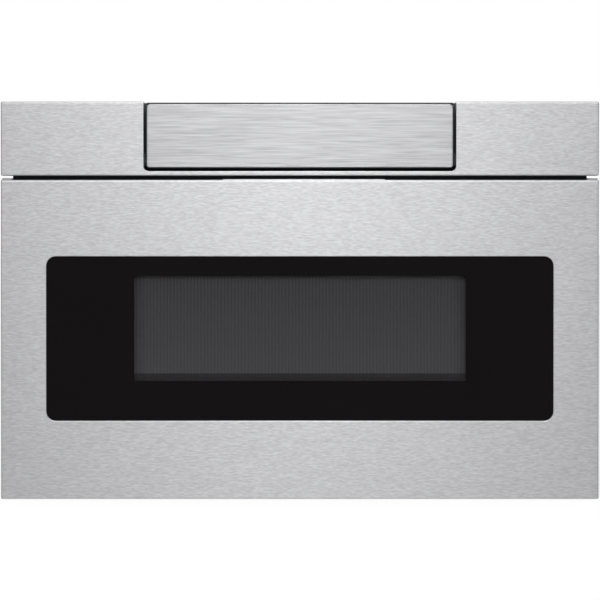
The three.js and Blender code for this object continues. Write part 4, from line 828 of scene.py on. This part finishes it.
case = {"side": 0.278, "top": 0.397, "rear": 0.291, "frame": -0.265, "innerPanel": -0.2687}  # outer faces
screw = 0.0042
fasteners = {}  # heads at every crossing of the x, y and z places in each row
for name, side in sides:
    x = side * case["side"]
    fasteners[name + "_side_screws"] = {"faces": name, "radius": screw, "rows": (
        ((x,), (-0.250, 0.284), (0.022, 0.200, 0.376)),
    )}
    fasteners[name + "_rail_rivets"] = {"faces": name, "radius": 0.003, "head": addRivet, "rows": (
        ((x,), (-0.235, -0.110, 0.020, 0.150), (0.062, 0.084)),
    )}
fasteners |= {
    "top_screws": {"faces": "top", "radius": screw, "rows": (
        ((-0.262, 0.262), (-0.175, -0.020, 0.135, 0.283), (case["top"],)),
        ((-0.130, 0.0, 0.130), (0.283,), (case["top"],)),
    )},
    "rear_screws": {"faces": "rear", "radius": screw, "rows": (
        ((-0.258, 0.0, 0.258), (case["rear"],), (0.022, 0.376)),
        ((-0.258, 0.258), (case["rear"],), (0.200,)),
    )},
    "frame_screws": {"faces": "front", "radius": 0.0034, "finish": slotMaterial("black_steel"), "rows": (
        ((-0.284, 0.284), (case["frame"],), (0.030, 0.180, 0.318)),
    )},
    "inner_panel_screws": {"faces": "rear", "radius": 0.003, "body": "drawer", "rows": (
        ((-0.290, 0.290), (case["innerPanel"],), (0.020, 0.165, 0.310)),
        ((-0.150, 0.150), (case["innerPanel"],), (0.014, 0.310)),
    )},
}

for name, group in fasteners.items():
    maker = Maker()
    for place in [place for row in group["rows"] for place in itertools.product(*row)]:
        group.get("head", addScrew)(maker, seatFacing(group["faces"], place), group["radius"])
    finish = group.get("finish", plated)
    maker.piece(name, group.get("body", "chassis"), "galvanised", finish=finish, sharp=50)
print("fasteners made")

# pressed shapes on the case
pressing = {
    "beadWidth": 0.012,
    "beadHeight": 0.0011,
    "fieldHeight": 0.0009,
    "slope": 0.0022,
    "sink": 0.0003,  # how far a pressed shape starts under its sheet's face
    "leastRadius": 0.0004,
    "profile": ((0, 0), (0.2, 0.12), (0.5, 0.5), (0.8, 0.88), (1, 1)),  # shares of slope and height
}


def addField(maker, seat, width, height, radius, rise):
    def outlineAt(inset):
        x, y = width / 2 - inset, height / 2 - inset
        return rectangle(-x, x, -y, y, max(radius - inset, pressing["leastRadius"]))

    steps = [(pressing["slope"] * across, rise * up) for across, up in pressing["profile"]]
    maker.stack(seat, outlineAt, [(0, -pressing["sink"])] + steps)


def pressedSheet(name, direction, fields):  # fields of (centre, width, height, radius, rise)
    maker = Maker()
    for place, width, height, radius, rise in fields:
        addField(maker, seatFacing(direction, place), width, height, radius, rise)
    maker.piece(name, "chassis", "galvanised", sharp=60)


bead, beadRise, rise = pressing["beadWidth"], pressing["beadHeight"], pressing["fieldHeight"]
sideBeads = ((-0.020, 0.140, 0.390), (-0.020, 0.245, 0.390), (-0.075, 0.338, 0.280))  # (y, z, length)
for direction, side in sides:
    pressedSheet(direction + "_side_beads", direction, [
        ((side * case["side"], y, z), length, bead, bead / 2, beadRise) for y, z, length in sideBeads
    ])
topField = {
    "y": 0.040, "size": (0.440, 0.400), "corner": 0.020, "beadsAt": (-0.130, 0, 0.130), "beadLength": 0.330,
}
rearField = {
    "x": -0.050, "z": 0.195, "size": (0.290, 0.290), "corner": 0.018,
    "beadsAt": (0.120, 0.195, 0.270), "beadLength": 0.230,
}
y, z = topField["y"], case["top"]
pressedSheet("top_field", "top", [((0, y, z), *topField["size"], topField["corner"], rise)] + [
    ((x, y, z + rise), bead, topField["beadLength"], bead / 2, beadRise) for x in topField["beadsAt"]
])
x, y = rearField["x"], case["rear"]
middle = (x, y, rearField["z"])
pressedSheet("rear_field", "rear", [(middle, *rearField["size"], rearField["corner"], rise)] + [
    ((x, y + rise, z), rearField["beadLength"], bead, bead / 2, beadRise) for z in rearField["beadsAt"]
])

louvre = {
    "length": 0.036, "rise": 0.0022, "span": 0.0062, "steps": 14, "across": 5,
    "endPower": 5, "hoodPower": 0.8, "sheet": 0.0007,
}
vents = {
    "pitch": 0.009,
    "lift": 0.0018,  # from a slot's lower edge to the hood's lip
    "side": {"columns": (0.1878, 0.2388), "low": 0.283, "rows": 5},
    "rear": {"columns": (0.1465, 0.1835), "low": 0.1535, "rows": 8},
}


def addLouvre(maker, seat):  # a lanced hood over the upper part of a vent slot, open below
    rows = []
    for across in range(louvre["across"] + 1):
        share = across / louvre["across"]
        hood = math.cos(share * math.pi / 2) ** louvre["hoodPower"]
        row = []
        for along in range(louvre["steps"] + 1):
            u = 2 * along / louvre["steps"] - 1
            lift = louvre["rise"] * (1 - abs(u) ** louvre["endPower"]) * hood
            row.append(seat @ Vector((u * louvre["length"] / 2, share * louvre["span"], lift)))
        rows.append(row)
    maker.sheet(rows)


def louvres(name, direction, places):
    maker = Maker()
    for place in places:
        addLouvre(maker, seatFacing(direction, place))
    hoods = maker.piece(name, "chassis", "galvanised", sharp=60, keepNormals=True)
    thickness = hoods.modifiers.new("sheet", "SOLIDIFY")
    thickness.thickness = louvre["sheet"]
    thickness.offset = -1


def ventRows(vent):
    return [vent["low"] + row * vents["pitch"] + vents["lift"] for row in range(vent["rows"])]


for direction, side in sides:
    columns, rows = vents["side"]["columns"], ventRows(vents["side"])
    louvres(direction + "_louvres", direction, [(side * case["side"], y, z) for y in columns for z in rows])
columns, rows = vents["rear"]["columns"], ventRows(vents["rear"])
louvres("rear_louvres", "rear", [(x, case["rear"], z) for x in columns for z in rows])
print("pressed case details made")

# cord inlet and earth screw
inlet = {
    "x": -0.225, "z": 0.3414, "face": 0.294, "sink": 0.0002, "sides": 28,
    "outside": (  # (radius, height)
        (0.0086, 0), (0.0086, 0.0006), (0.0082, 0.0012), (0.0074, 0.0016), (0.0070, 0.0026), (0.0062, 0.0029),
    ),
    "inside": ((0.0052, 0.0029), (0.0045, 0.0022), (0.0045, 0)),
    "ribs": 12, "ribCircle": 0.0103, "ribHalfLength": 0.0015, "ribHalfWidth": 0.0006, "ribRadius": 0.0003,
    "ribSteps": ((0, -0.0002), (0, 0.0005), (0.0002, 0.0008)),  # (inset, height)
}

# ribbed collar on the gland's flange
maker = Maker()
seat = seatFacing("rear", (inlet["x"], inlet["face"] - inlet["sink"], inlet["z"]))
rings = [maker.ringOn(seat, wheel(r, inlet["sides"]), h) for r, h in inlet["outside"] + inlet["inside"]]
maker.bridge(*rings, rings[0])
for rib in range(inlet["ribs"]):
    turn = Matrix.Rotation(2 * math.pi * rib / inlet["ribs"], 4, "Z")
    spot = seat @ turn @ Matrix.Translation((inlet["ribCircle"], 0, 0))
    length, width = inlet["ribHalfLength"], inlet["ribHalfWidth"]
    maker.plate(spot, -length, length, -width, width, inlet["ribRadius"], inlet["ribSteps"], 2)
maker.piece("inlet_collar", "chassis", "black_plastic")

earth = {
    "x": -0.225, "z": 0.285, "screw": 0.0052, "rise": 0.0010, "sides": 24,
    "washer": ((0.0075, -0.0002), (0.0075, 0.0008), (0.0071, 0.0011), (0.004, 0.0011)),  # (radius, height)
}

maker = Maker()
seat = seatFacing("rear", (earth["x"], case["rear"], earth["z"]))
maker.closed([maker.ringOn(seat, wheel(r, earth["sides"]), h) for r, h in earth["washer"]])
head = seatFacing("rear", (earth["x"], case["rear"] + earth["rise"], earth["z"]))
addScrew(maker, head, earth["screw"])
maker.piece("earth_screw", "chassis", "galvanised", finish=plated, sharp=50)
print("cord inlet and earth screw made")

# cavity mouth
mouth = {
    "inner": 0.2278, "outer": 0.2385, "low": 0.0902, "high": 0.2858, "face": -0.2653,
    "depth": 0.0004, "corner": 0.003, "ease": 0.0002,
}


def makeMouthRing():
    maker = Maker()

    def outlineAt(out):
        edge = mouth["inner"] + out
        return rectangle(-edge, edge, mouth["low"] - out, mouth["high"] + out, mouth["corner"] + out)

    grow, ease, face = mouth["outer"] - mouth["inner"], mouth["ease"], mouth["face"]
    back, shoulder = face + mouth["depth"], face + ease / 2
    path = ((0, back), (0, shoulder), (ease, face), (grow - ease, face), (grow, shoulder), (grow, back))
    rings = [maker.ringXZ(rounded(outlineAt(out)), y) for out, y in path]
    maker.bridge(*rings, rings[0])
    maker.piece("cavity_mouth_ring", "chassis", "enamel")


makeMouthRing()

# cheeks beside the tilting front
cheek = {
    "inner": 0.15625, "outer": 0.1581, "front": -0.2760, "rear": -0.2656, "low": 0.3400, "high": 0.4024,
    "radii": (0.0003, 0.0003, 0.0006, 0.0012), "edge": 0.0003,
}

places = [(cheek["front"], cheek["low"]), (cheek["rear"], cheek["low"])]
places += [(cheek["rear"], cheek["high"]), (cheek["front"], cheek["high"])]
outline = [(y, z, radius) for (y, z), radius in zip(places, cheek["radii"])]
middle = (cheek["inner"] + cheek["outer"]) / 2
for name, side in sides:
    maker = Maker()
    places = (cheek["inner"], middle, cheek["outer"])
    maker.closed([maker.ringYZ(rounded(outline), side * x) for x in places])
    maker.piece(name + "_cheek", "chassis", "black_plastic", bevel=cheek["edge"])

# pads, seals and the raised part along the drawer's upper edge
pad = {
    "inner": 0.2915, "outer": 0.3022, "front": -0.2950, "rear": -0.2720, "low": 0.3241,
    "radius": 0.0014, "steps": ((0, 0), (0, 0.0011), (0.0002, 0.0016), (0.0006, 0.0019)),  # (inset, height)
}
gapSeal = {
    "inner": 0.2880, "outer": 0.2925, "front": -0.2662, "rear": -0.2652, "low": 0.3230, "high": 0.3292,
    "edge": 0.0002,
}
upperLip = {
    "left": -0.0781, "right": 0.0862, "front": -0.2962, "rear": -0.2900, "low": 0.3236, "high": 0.3248,
    "edge": 0.0003,
}

# soft pads at the two ends of the drawer's upper edge
maker = Maker()
seat = seatFacing("top", (0, 0, pad["low"]))
for _, side in sides:
    left, right = sorted((side * pad["inner"], side * pad["outer"]))
    maker.plate(seat, left, right, pad["front"], pad["rear"], pad["radius"], pad["steps"])
maker.piece("edge_pads", "drawer", "black_plastic", finish=finishOf("grey_rubber", greyRubber))

# black strips on the frame at the two ends of the gap over the drawer
maker = Maker()
for _, side in sides:
    left, right = sorted((side * gapSeal["inner"], side * gapSeal["outer"]))
    low, high = (left, gapSeal["front"], gapSeal["low"]), (right, gapSeal["rear"], gapSeal["high"])
    maker.brick(low, high, gapSeal["edge"])
maker.piece("gap_seals", "chassis", "black_plastic")

# raised middle part of the drawer's upper edge
maker = Maker()
low = (upperLip["left"], upperLip["front"], upperLip["low"])
high = (upperLip["right"], upperLip["rear"], upperLip["high"])
maker.brick(low, high, upperLip["edge"])
maker.piece("upper_edge_lip", "drawer", "stainless")
print("cavity mouth, cheeks, pads and seals made")

# drawer tub and tray
tub = {
    "half": 0.214, "front": -0.2655, "rear": 0.1395, "bottom": 0.104, "top": 0.236,
    "sheet": 0.0015, "corner": 0.014, "leastCorner": 0.001, "cornerSteps": 8,
    "floorBend": 0.006, "bendSteps": 5,
    "rim": 0.003, "rimDrop": 0.0045, "rimSheet": 0.0008, "rimUnder": 0.0022,
    "wallEdge": ((0, 0.0016), (0.0003, 0.0006), (0.0009, 0)),  # (out from the wall's inside, below the top)
    "rimEdge": ((0.0012, 0), (0.0003, 0.0005), (0, 0.0014)),  # (in from the rim's outside, below the top)
}


def tubPath(inset):  # plan of the wall from the front left round the back to the front right
    half, rear = tub["half"] - inset, tub["rear"] - inset
    radius = max(tub["corner"] - inset, tub["leastCorner"])
    line = [(-half, tub["front"]), (-half, tub["front"] / 2)]
    for _, side in sides:
        x, y = side * (half - radius), rear - radius
        for step in range(tub["cornerSteps"] + 1):
            turn = math.pi / 2 * step / tub["cornerSteps"]
            angle = math.pi - turn if side < 0 else math.pi / 2 - turn
            line.append((x + radius * math.cos(angle), y + radius * math.sin(angle)))
    return line + [(half, tub["front"] / 2), (half, tub["front"])]


# (inset from the wall's outside, height) from the floor's inside edge over the rim to its underside
def tubProfile():
    low, high, sheet, rim = tub["bottom"], tub["top"], tub["sheet"], tub["rim"]
    inner, outer = tub["floorBend"], tub["floorBend"] + sheet
    arc = [math.pi / 2 * step / tub["bendSteps"] for step in range(tub["bendSteps"] + 1)]
    points = [(sheet + inner * (1 - math.sin(a)), low + sheet + inner * (1 - math.cos(a))) for a in arc]
    points += [(sheet - out, high - down) for out, down in tub["wallEdge"]]
    points += [(inward - rim, high - down) for inward, down in tub["rimEdge"]]
    under, back = high - tub["rimUnder"], tub["rimSheet"] - rim
    points += [(-rim, high - tub["rimDrop"]), (back, high - tub["rimDrop"]), (back, under), (0, under)]
    points += [(outer * (1 - math.sin(a)), low + outer * (1 - math.cos(a))) for a in reversed(arc)]
    return points


maker = Maker()
lines = maker.sheet([[(x, y, z) for x, y in tubPath(inset)] for inset, z in tubProfile()])
for line in (lines[0], lines[-1]):
    maker.bm.faces.new(line)
maker.cap([line[0] for line in lines] + [line[-1] for line in reversed(lines)])
maker.piece("tub_pressing", "drawer", "enamel", ("drawer_tub",), sharp=40)

tray = {
    "half": 0.2114, "front": -0.2629, "rear": 0.1369, "low": 0.1058, "thickness": 0.005,
    "corner": 0.0126, "leastCorner": 0.003, "frontCorner": 0.003, "leastFrontCorner": 0.0012,
    "footEdge": ((0.0020, 0), (0.0007, 0.0004), (0, 0.0014)),  # (inset, height)
    "topEdge": (  # (inset, depth under the top)
        (0, 0.0016), (0.0005, 0.0005), (0.0016, 0), (0.0060, 0),
        (0.0075, 0.0002), (0.0095, 0.0009), (0.0112, 0.0014), (0.0130, 0.0015),
    ),
}


def trayOutline(inset):
    edge = tray["half"] - inset
    frontCorner = max(tray["frontCorner"] - inset, tray["leastFrontCorner"])
    corner = max(tray["corner"] - inset, tray["leastCorner"])
    return rectangle(-edge, edge, tray["front"] + inset, tray["rear"] - inset, frontCorner, corner)


maker = Maker()
steps = list(tray["footEdge"]) + [(inset, tray["thickness"] - down) for inset, down in tray["topEdge"]]
maker.stack(seatFacing("top", (0, 0, tray["low"])), trayOutline, steps)
maker.piece("glazed_tray", "drawer", "ceramic", ("ceramic_tray",), sharp=50)
print("tub and tray made")

# keys and display
keypad = {
    "centre": (0, -0.26203, 0.39011),
    "slope": 26,
    "keyWidth": 0.0150, "keyHeight": 0.0136, "corner": 0.0022, "pitchAcross": 0.0192, "pitchDown": 0.0178,
    "sink": 0.0002, "rise": 0.0003, "bevel": 0.0003, "topInset": 0.0012,
    "rows": 2,
    "numbersAt": 0.0540, "numberColumns": 5,
    "functionsAt": -0.1308, "functionColumns": 4,
    "numbers": "1234567890", "numberSize": 0.0085,
    "functions": ("ON", "OFF", "-", "+"), "functionSize": 0.0055,
    "inkHeight": 0.00005, "inkSteps": 3,
}


def printedInk(f):
    grain = f.noise(scale=2500)
    f.set(grain, roughness=0.45 + grain * 0.1)


def keyMembrane(f):
    grain = f.noise(scale=2200)
    f.set(grain, roughness=0.38 + grain * 0.14, normal=f.relief(grain, 0.00003, 0.5))


def litSegments(f):
    cloud = f.noise(scale=500)
    f.set(cloud, roughness=0.4 + cloud * 0.1, emission=(0.18, 0.62, 0.66), glow=0.55)


ink = finishOf("printed_ink", printedInk)
tilt = math.radians(keypad["slope"])
panelSeat = seatOf(keypad["centre"], (1, 0, 0), (0, math.cos(tilt), -math.sin(tilt)))


def keyPlaces(first, columns):
    for row in range(keypad["rows"]):
        for column in range(columns):
            # the reader stands in front of the tilted panel, so rows run from its rear edge forwards
            down = (keypad["rows"] - 1) / 2 - row
            yield first + column * keypad["pitchAcross"], down * keypad["pitchDown"]


def makeKeys(name, first, columns):
    maker = Maker()
    x, y, rise = keypad["keyWidth"] / 2, keypad["keyHeight"] / 2, keypad["rise"]
    steps = ((0, -keypad["sink"]), (0, rise / 2), (keypad["bevel"], rise), (keypad["topInset"], rise))
    for u, v in keyPlaces(first, columns):
        seat = panelSeat @ Matrix.Translation((u, v, 0))
        maker.plate(seat, -x, x, -y, y, keypad["corner"], steps)
    maker.piece(name, "control_module", "black_plastic", finish=finishOf("key_membrane", keyMembrane))


def printedWord(word, size):  # its mesh, centred
    curve = bpy.data.curves.new("word", "FONT")
    curve.body = word
    curve.size = size
    curve.align_x = "CENTER"
    curve.align_y = "CENTER"
    curve.extrude = keypad["inkHeight"]
    curve.resolution_u = keypad["inkSteps"]
    label = bpy.data.objects.new("word", curve)
    bpy.context.scene.collection.objects.link(label)
    bpy.context.view_layer.update()
    shown = label.evaluated_get(bpy.context.evaluated_depsgraph_get())
    mesh = bpy.data.meshes.new_from_object(shown)
    bpy.data.objects.remove(label)
    return mesh


def makeLabels(name, words, first, columns, size):
    bm = bmesh.new()
    for word, (u, v) in zip(words, keyPlaces(first, columns)):
        mesh = printedWord(word, size)
        mesh.transform(panelSeat @ Matrix.Translation((u, v, keypad["rise"] + keypad["inkHeight"])))
        bm.from_mesh(mesh)
    joined = bpy.data.meshes.new(name)
    bm.to_mesh(joined)
    bm.free()
    dress(joined, name, ink, "control_module", ())


for group in ("number", "function"):
    first, columns = keypad[group + "sAt"], keypad[group + "Columns"]
    makeKeys(group + "_keys", first, columns)
    makeLabels(group + "_prints", keypad[group + "s"], first, columns, keypad[group + "Size"])

segments = {
    "time": "1200", "height": 0.0095, "width": 0.0052, "stroke": 0.0011, "pitch": 0.0078,
    "gap": 0.0001,  # between two strokes
    "corner": 0.0003,
    "steps": ((0, 0), (0, 0.00008), (0.0001, 0.00012)),  # (inset, height)
    "lift": 0.00002,
    "colonShare": 0.0014, "dot": 0.0006, "dotsAt": (-0.0022, 0.0022),
}
segmentShapes = {
    "0": "abcdef", "1": "bc", "2": "abged", "3": "abgcd", "4": "fgbc",
    "5": "afgcd", "6": "afgcde", "7": "abc", "8": "abcdefg", "9": "abcdfg",
}


def segmentBars(letter):
    w, h, s = segments["width"] / 2, segments["height"] / 2, segments["stroke"] / 2
    return {
        "a": (-w, h - s, w, h + s), "g": (-w, -s, w, s), "d": (-w, -h - s, w, -h + s),
        "f": (-w - s, s, -w + s, h - s), "b": (w - s, s, w + s, h - s),
        "e": (-w - s, -h + s, -w + s, -s), "c": (w - s, -h + s, w + s, -s),
    }[letter]


maker = Maker()
seat = panelSeat @ Matrix.Translation((0, 0, segments["lift"]))
centre = (len(segments["time"]) - 1) / 2
gap, dot = segments["gap"], segments["dot"]
bars = []
for index, digit in enumerate(segments["time"]):
    shift = math.copysign(segments["colonShare"], index - centre)
    middle = (index - centre) * segments["pitch"] + shift
    for letter in segmentShapes[digit]:
        left, low, right, high = segmentBars(letter)
        bars.append((middle + left, middle + right, low + gap, high - gap))
bars += [(-dot, dot, v - dot, v + dot) for v in segments["dotsAt"]]
for bar in bars:
    maker.plate(seat, *bar, segments["corner"], segments["steps"], 2)
finish = finishOf("lit_segments", litSegments)
maker.piece("display_digits", "control_module", "board_green", finish=finish)
print("keys and display made")

# softened copies of the plain sheet and moulded pieces
railSlots = {
    "length": 0.024, "height": 0.007, "at": (-0.205, -0.085, 0.035, 0.135), "z": 0.073,
    "hole": 0.005, "holeStep": 0.045,
    "webs": {"inner": (0.2650, 0.2685), "middle": (0.2717, 0.2752)},  # a web's sides, from the middle
}


def railCuts(side, web):  # punched slots and square holes through a rail's web
    left, right = sorted(side * x for x in web)
    z, hole = railSlots["z"], railSlots["hole"]
    cuts = []
    for slot in railSlots["at"]:
        square = (slot + railSlots["holeStep"], hole, hole)
        for y, length, height in ((slot, railSlots["length"], railSlots["height"]), square):
            low, high = (left, y - length / 2, z - height / 2), (right, y + length / 2, z + height / 2)
            cuts.append((low, high))
    return cuts


punched = {
    name + "_" + rail + "_rail": railCuts(side, web)
    for name, side in sides for rail, web in railSlots["webs"].items()
}
replaced = {"drawer_skin", "upper_trim", "control_front", "drawer_glass", "drawer_tub", "ceramic_tray"}
small = {
    "left_hinge_pin", "right_hinge_pin", "primary_plunger", "monitor_plunger", "hv_diode", "power_board",
    "filter_board", "control_board", "primary_switch", "monitor_switch", "drive_pinion", "drive_rack",
    "cord_gland", "control_housing", "recess_housing", "lamp_socket", "cavity_lamp", "stirrer_fan",
    "blower_wheel", "window_screen", "magnetron",
}
softening = {"small": 0.0002, "plain": 0.0005}
ownFinish = {
    "cavity_lamp": finishOf("clear_bulb", clearBulb),
    "left_hinge_pin": slotMaterial("black_steel"),
    "right_hinge_pin": slotMaterial("black_steel"),
}
for node in nodes:
    if node not in replaced:
        finish = ownFinish.get(node) or slotMaterial(nodeSlot[node])
        bevel = softening["small" if node in small else "plain"]
        refined(node, finish, bevel, punched.get(node, ()))
print("softened copies made")

# stage and light
studio = {
    "floorColour": (0.9, 0.9, 0.9),
    "floorGlow": 0.82,  # share of plain white that the camera sees in the floor
    "floorSize": 60,
    "floorDrop": 0.0003,
    "skyForLight": 0.55,
}
lamps = {  # place, target, (width, height), power
    "front_strip": ((0, -1.25, 1.05), (0, -0.3, 0.35), (0.95, 0.6), 5.9),
    "centre_strip": ((0, -2.2, 1.5), (0, -0.3, 0.35), (0.3, 1.3), 9.0),
    "overhead_lamp": ((0, -0.9, 2.1), (0, -0.1, 0.3), (1.5, 1.5), 13),
    "left_lamp": ((-2.6, -1.6, 1.6), (0, 0, 0.2), (1.4, 1.4), 5),
    "right_lamp": ((2.6, -1.6, 1.6), (0, 0, 0.2), (1.4, 1.4), 5),
    "rear_lamp": ((0, 2.6, 2.0), (0, 0, 0.2), (2.4, 2.4), 8),
}

bpy.ops.mesh.primitive_plane_add(size=studio["floorSize"], location=(0, 0, -studio["floorDrop"]))
floor = bpy.context.object
floor.name = "studio_floor"
f = Finish("pale_floor")
f.tree.nodes.remove(f.shader)
matte = f.add("ShaderNodeBsdfDiffuse", {}, {"Color": studio["floorColour"]})
plain = f.add("ShaderNodeEmission", {}, {"Color": (1, 1, 1), "Strength": 1.0})
mixed = f.add("ShaderNodeMixShader", {}, {0: f.seen() * studio["floorGlow"], 1: matte, 2: plain})
plug(f.tree, mixed, f.tree.nodes["Material Output"].inputs["Surface"])
floor.data.materials.append(f.material)

world = bpy.data.worlds.new("sky")
world.use_nodes = True
bpy.context.scene.world = world
world.node_tree.nodes.clear()
sky = Graph(world.node_tree)
lit = sky.add("ShaderNodeBackground", {}, {"Color": (1, 1, 1), "Strength": studio["skyForLight"]})
white = sky.add("ShaderNodeBackground", {}, {"Color": (1, 1, 1)})
mixed = sky.add("ShaderNodeMixShader", {}, {0: sky.seen(), 1: lit, 2: white})
sky.add("ShaderNodeOutputWorld", {}, {"Surface": mixed})

for name, (place, target, size, power) in lamps.items():
    light = bpy.data.lights.new(name, "AREA")
    light.shape = "RECTANGLE"
    light.size, light.size_y = size
    light.energy = power
    lamp = bpy.data.objects.new(name, light)
    bpy.context.scene.collection.objects.link(lamp)
    lamp.location = place
    lamp.rotation_euler = (Vector(target) - Vector(place)).to_track_quat("-Z", "Y").to_euler()
    lamp.visible_camera = False
bpy.context.scene.view_settings.view_transform = "Standard"
print("stage and lamps made")
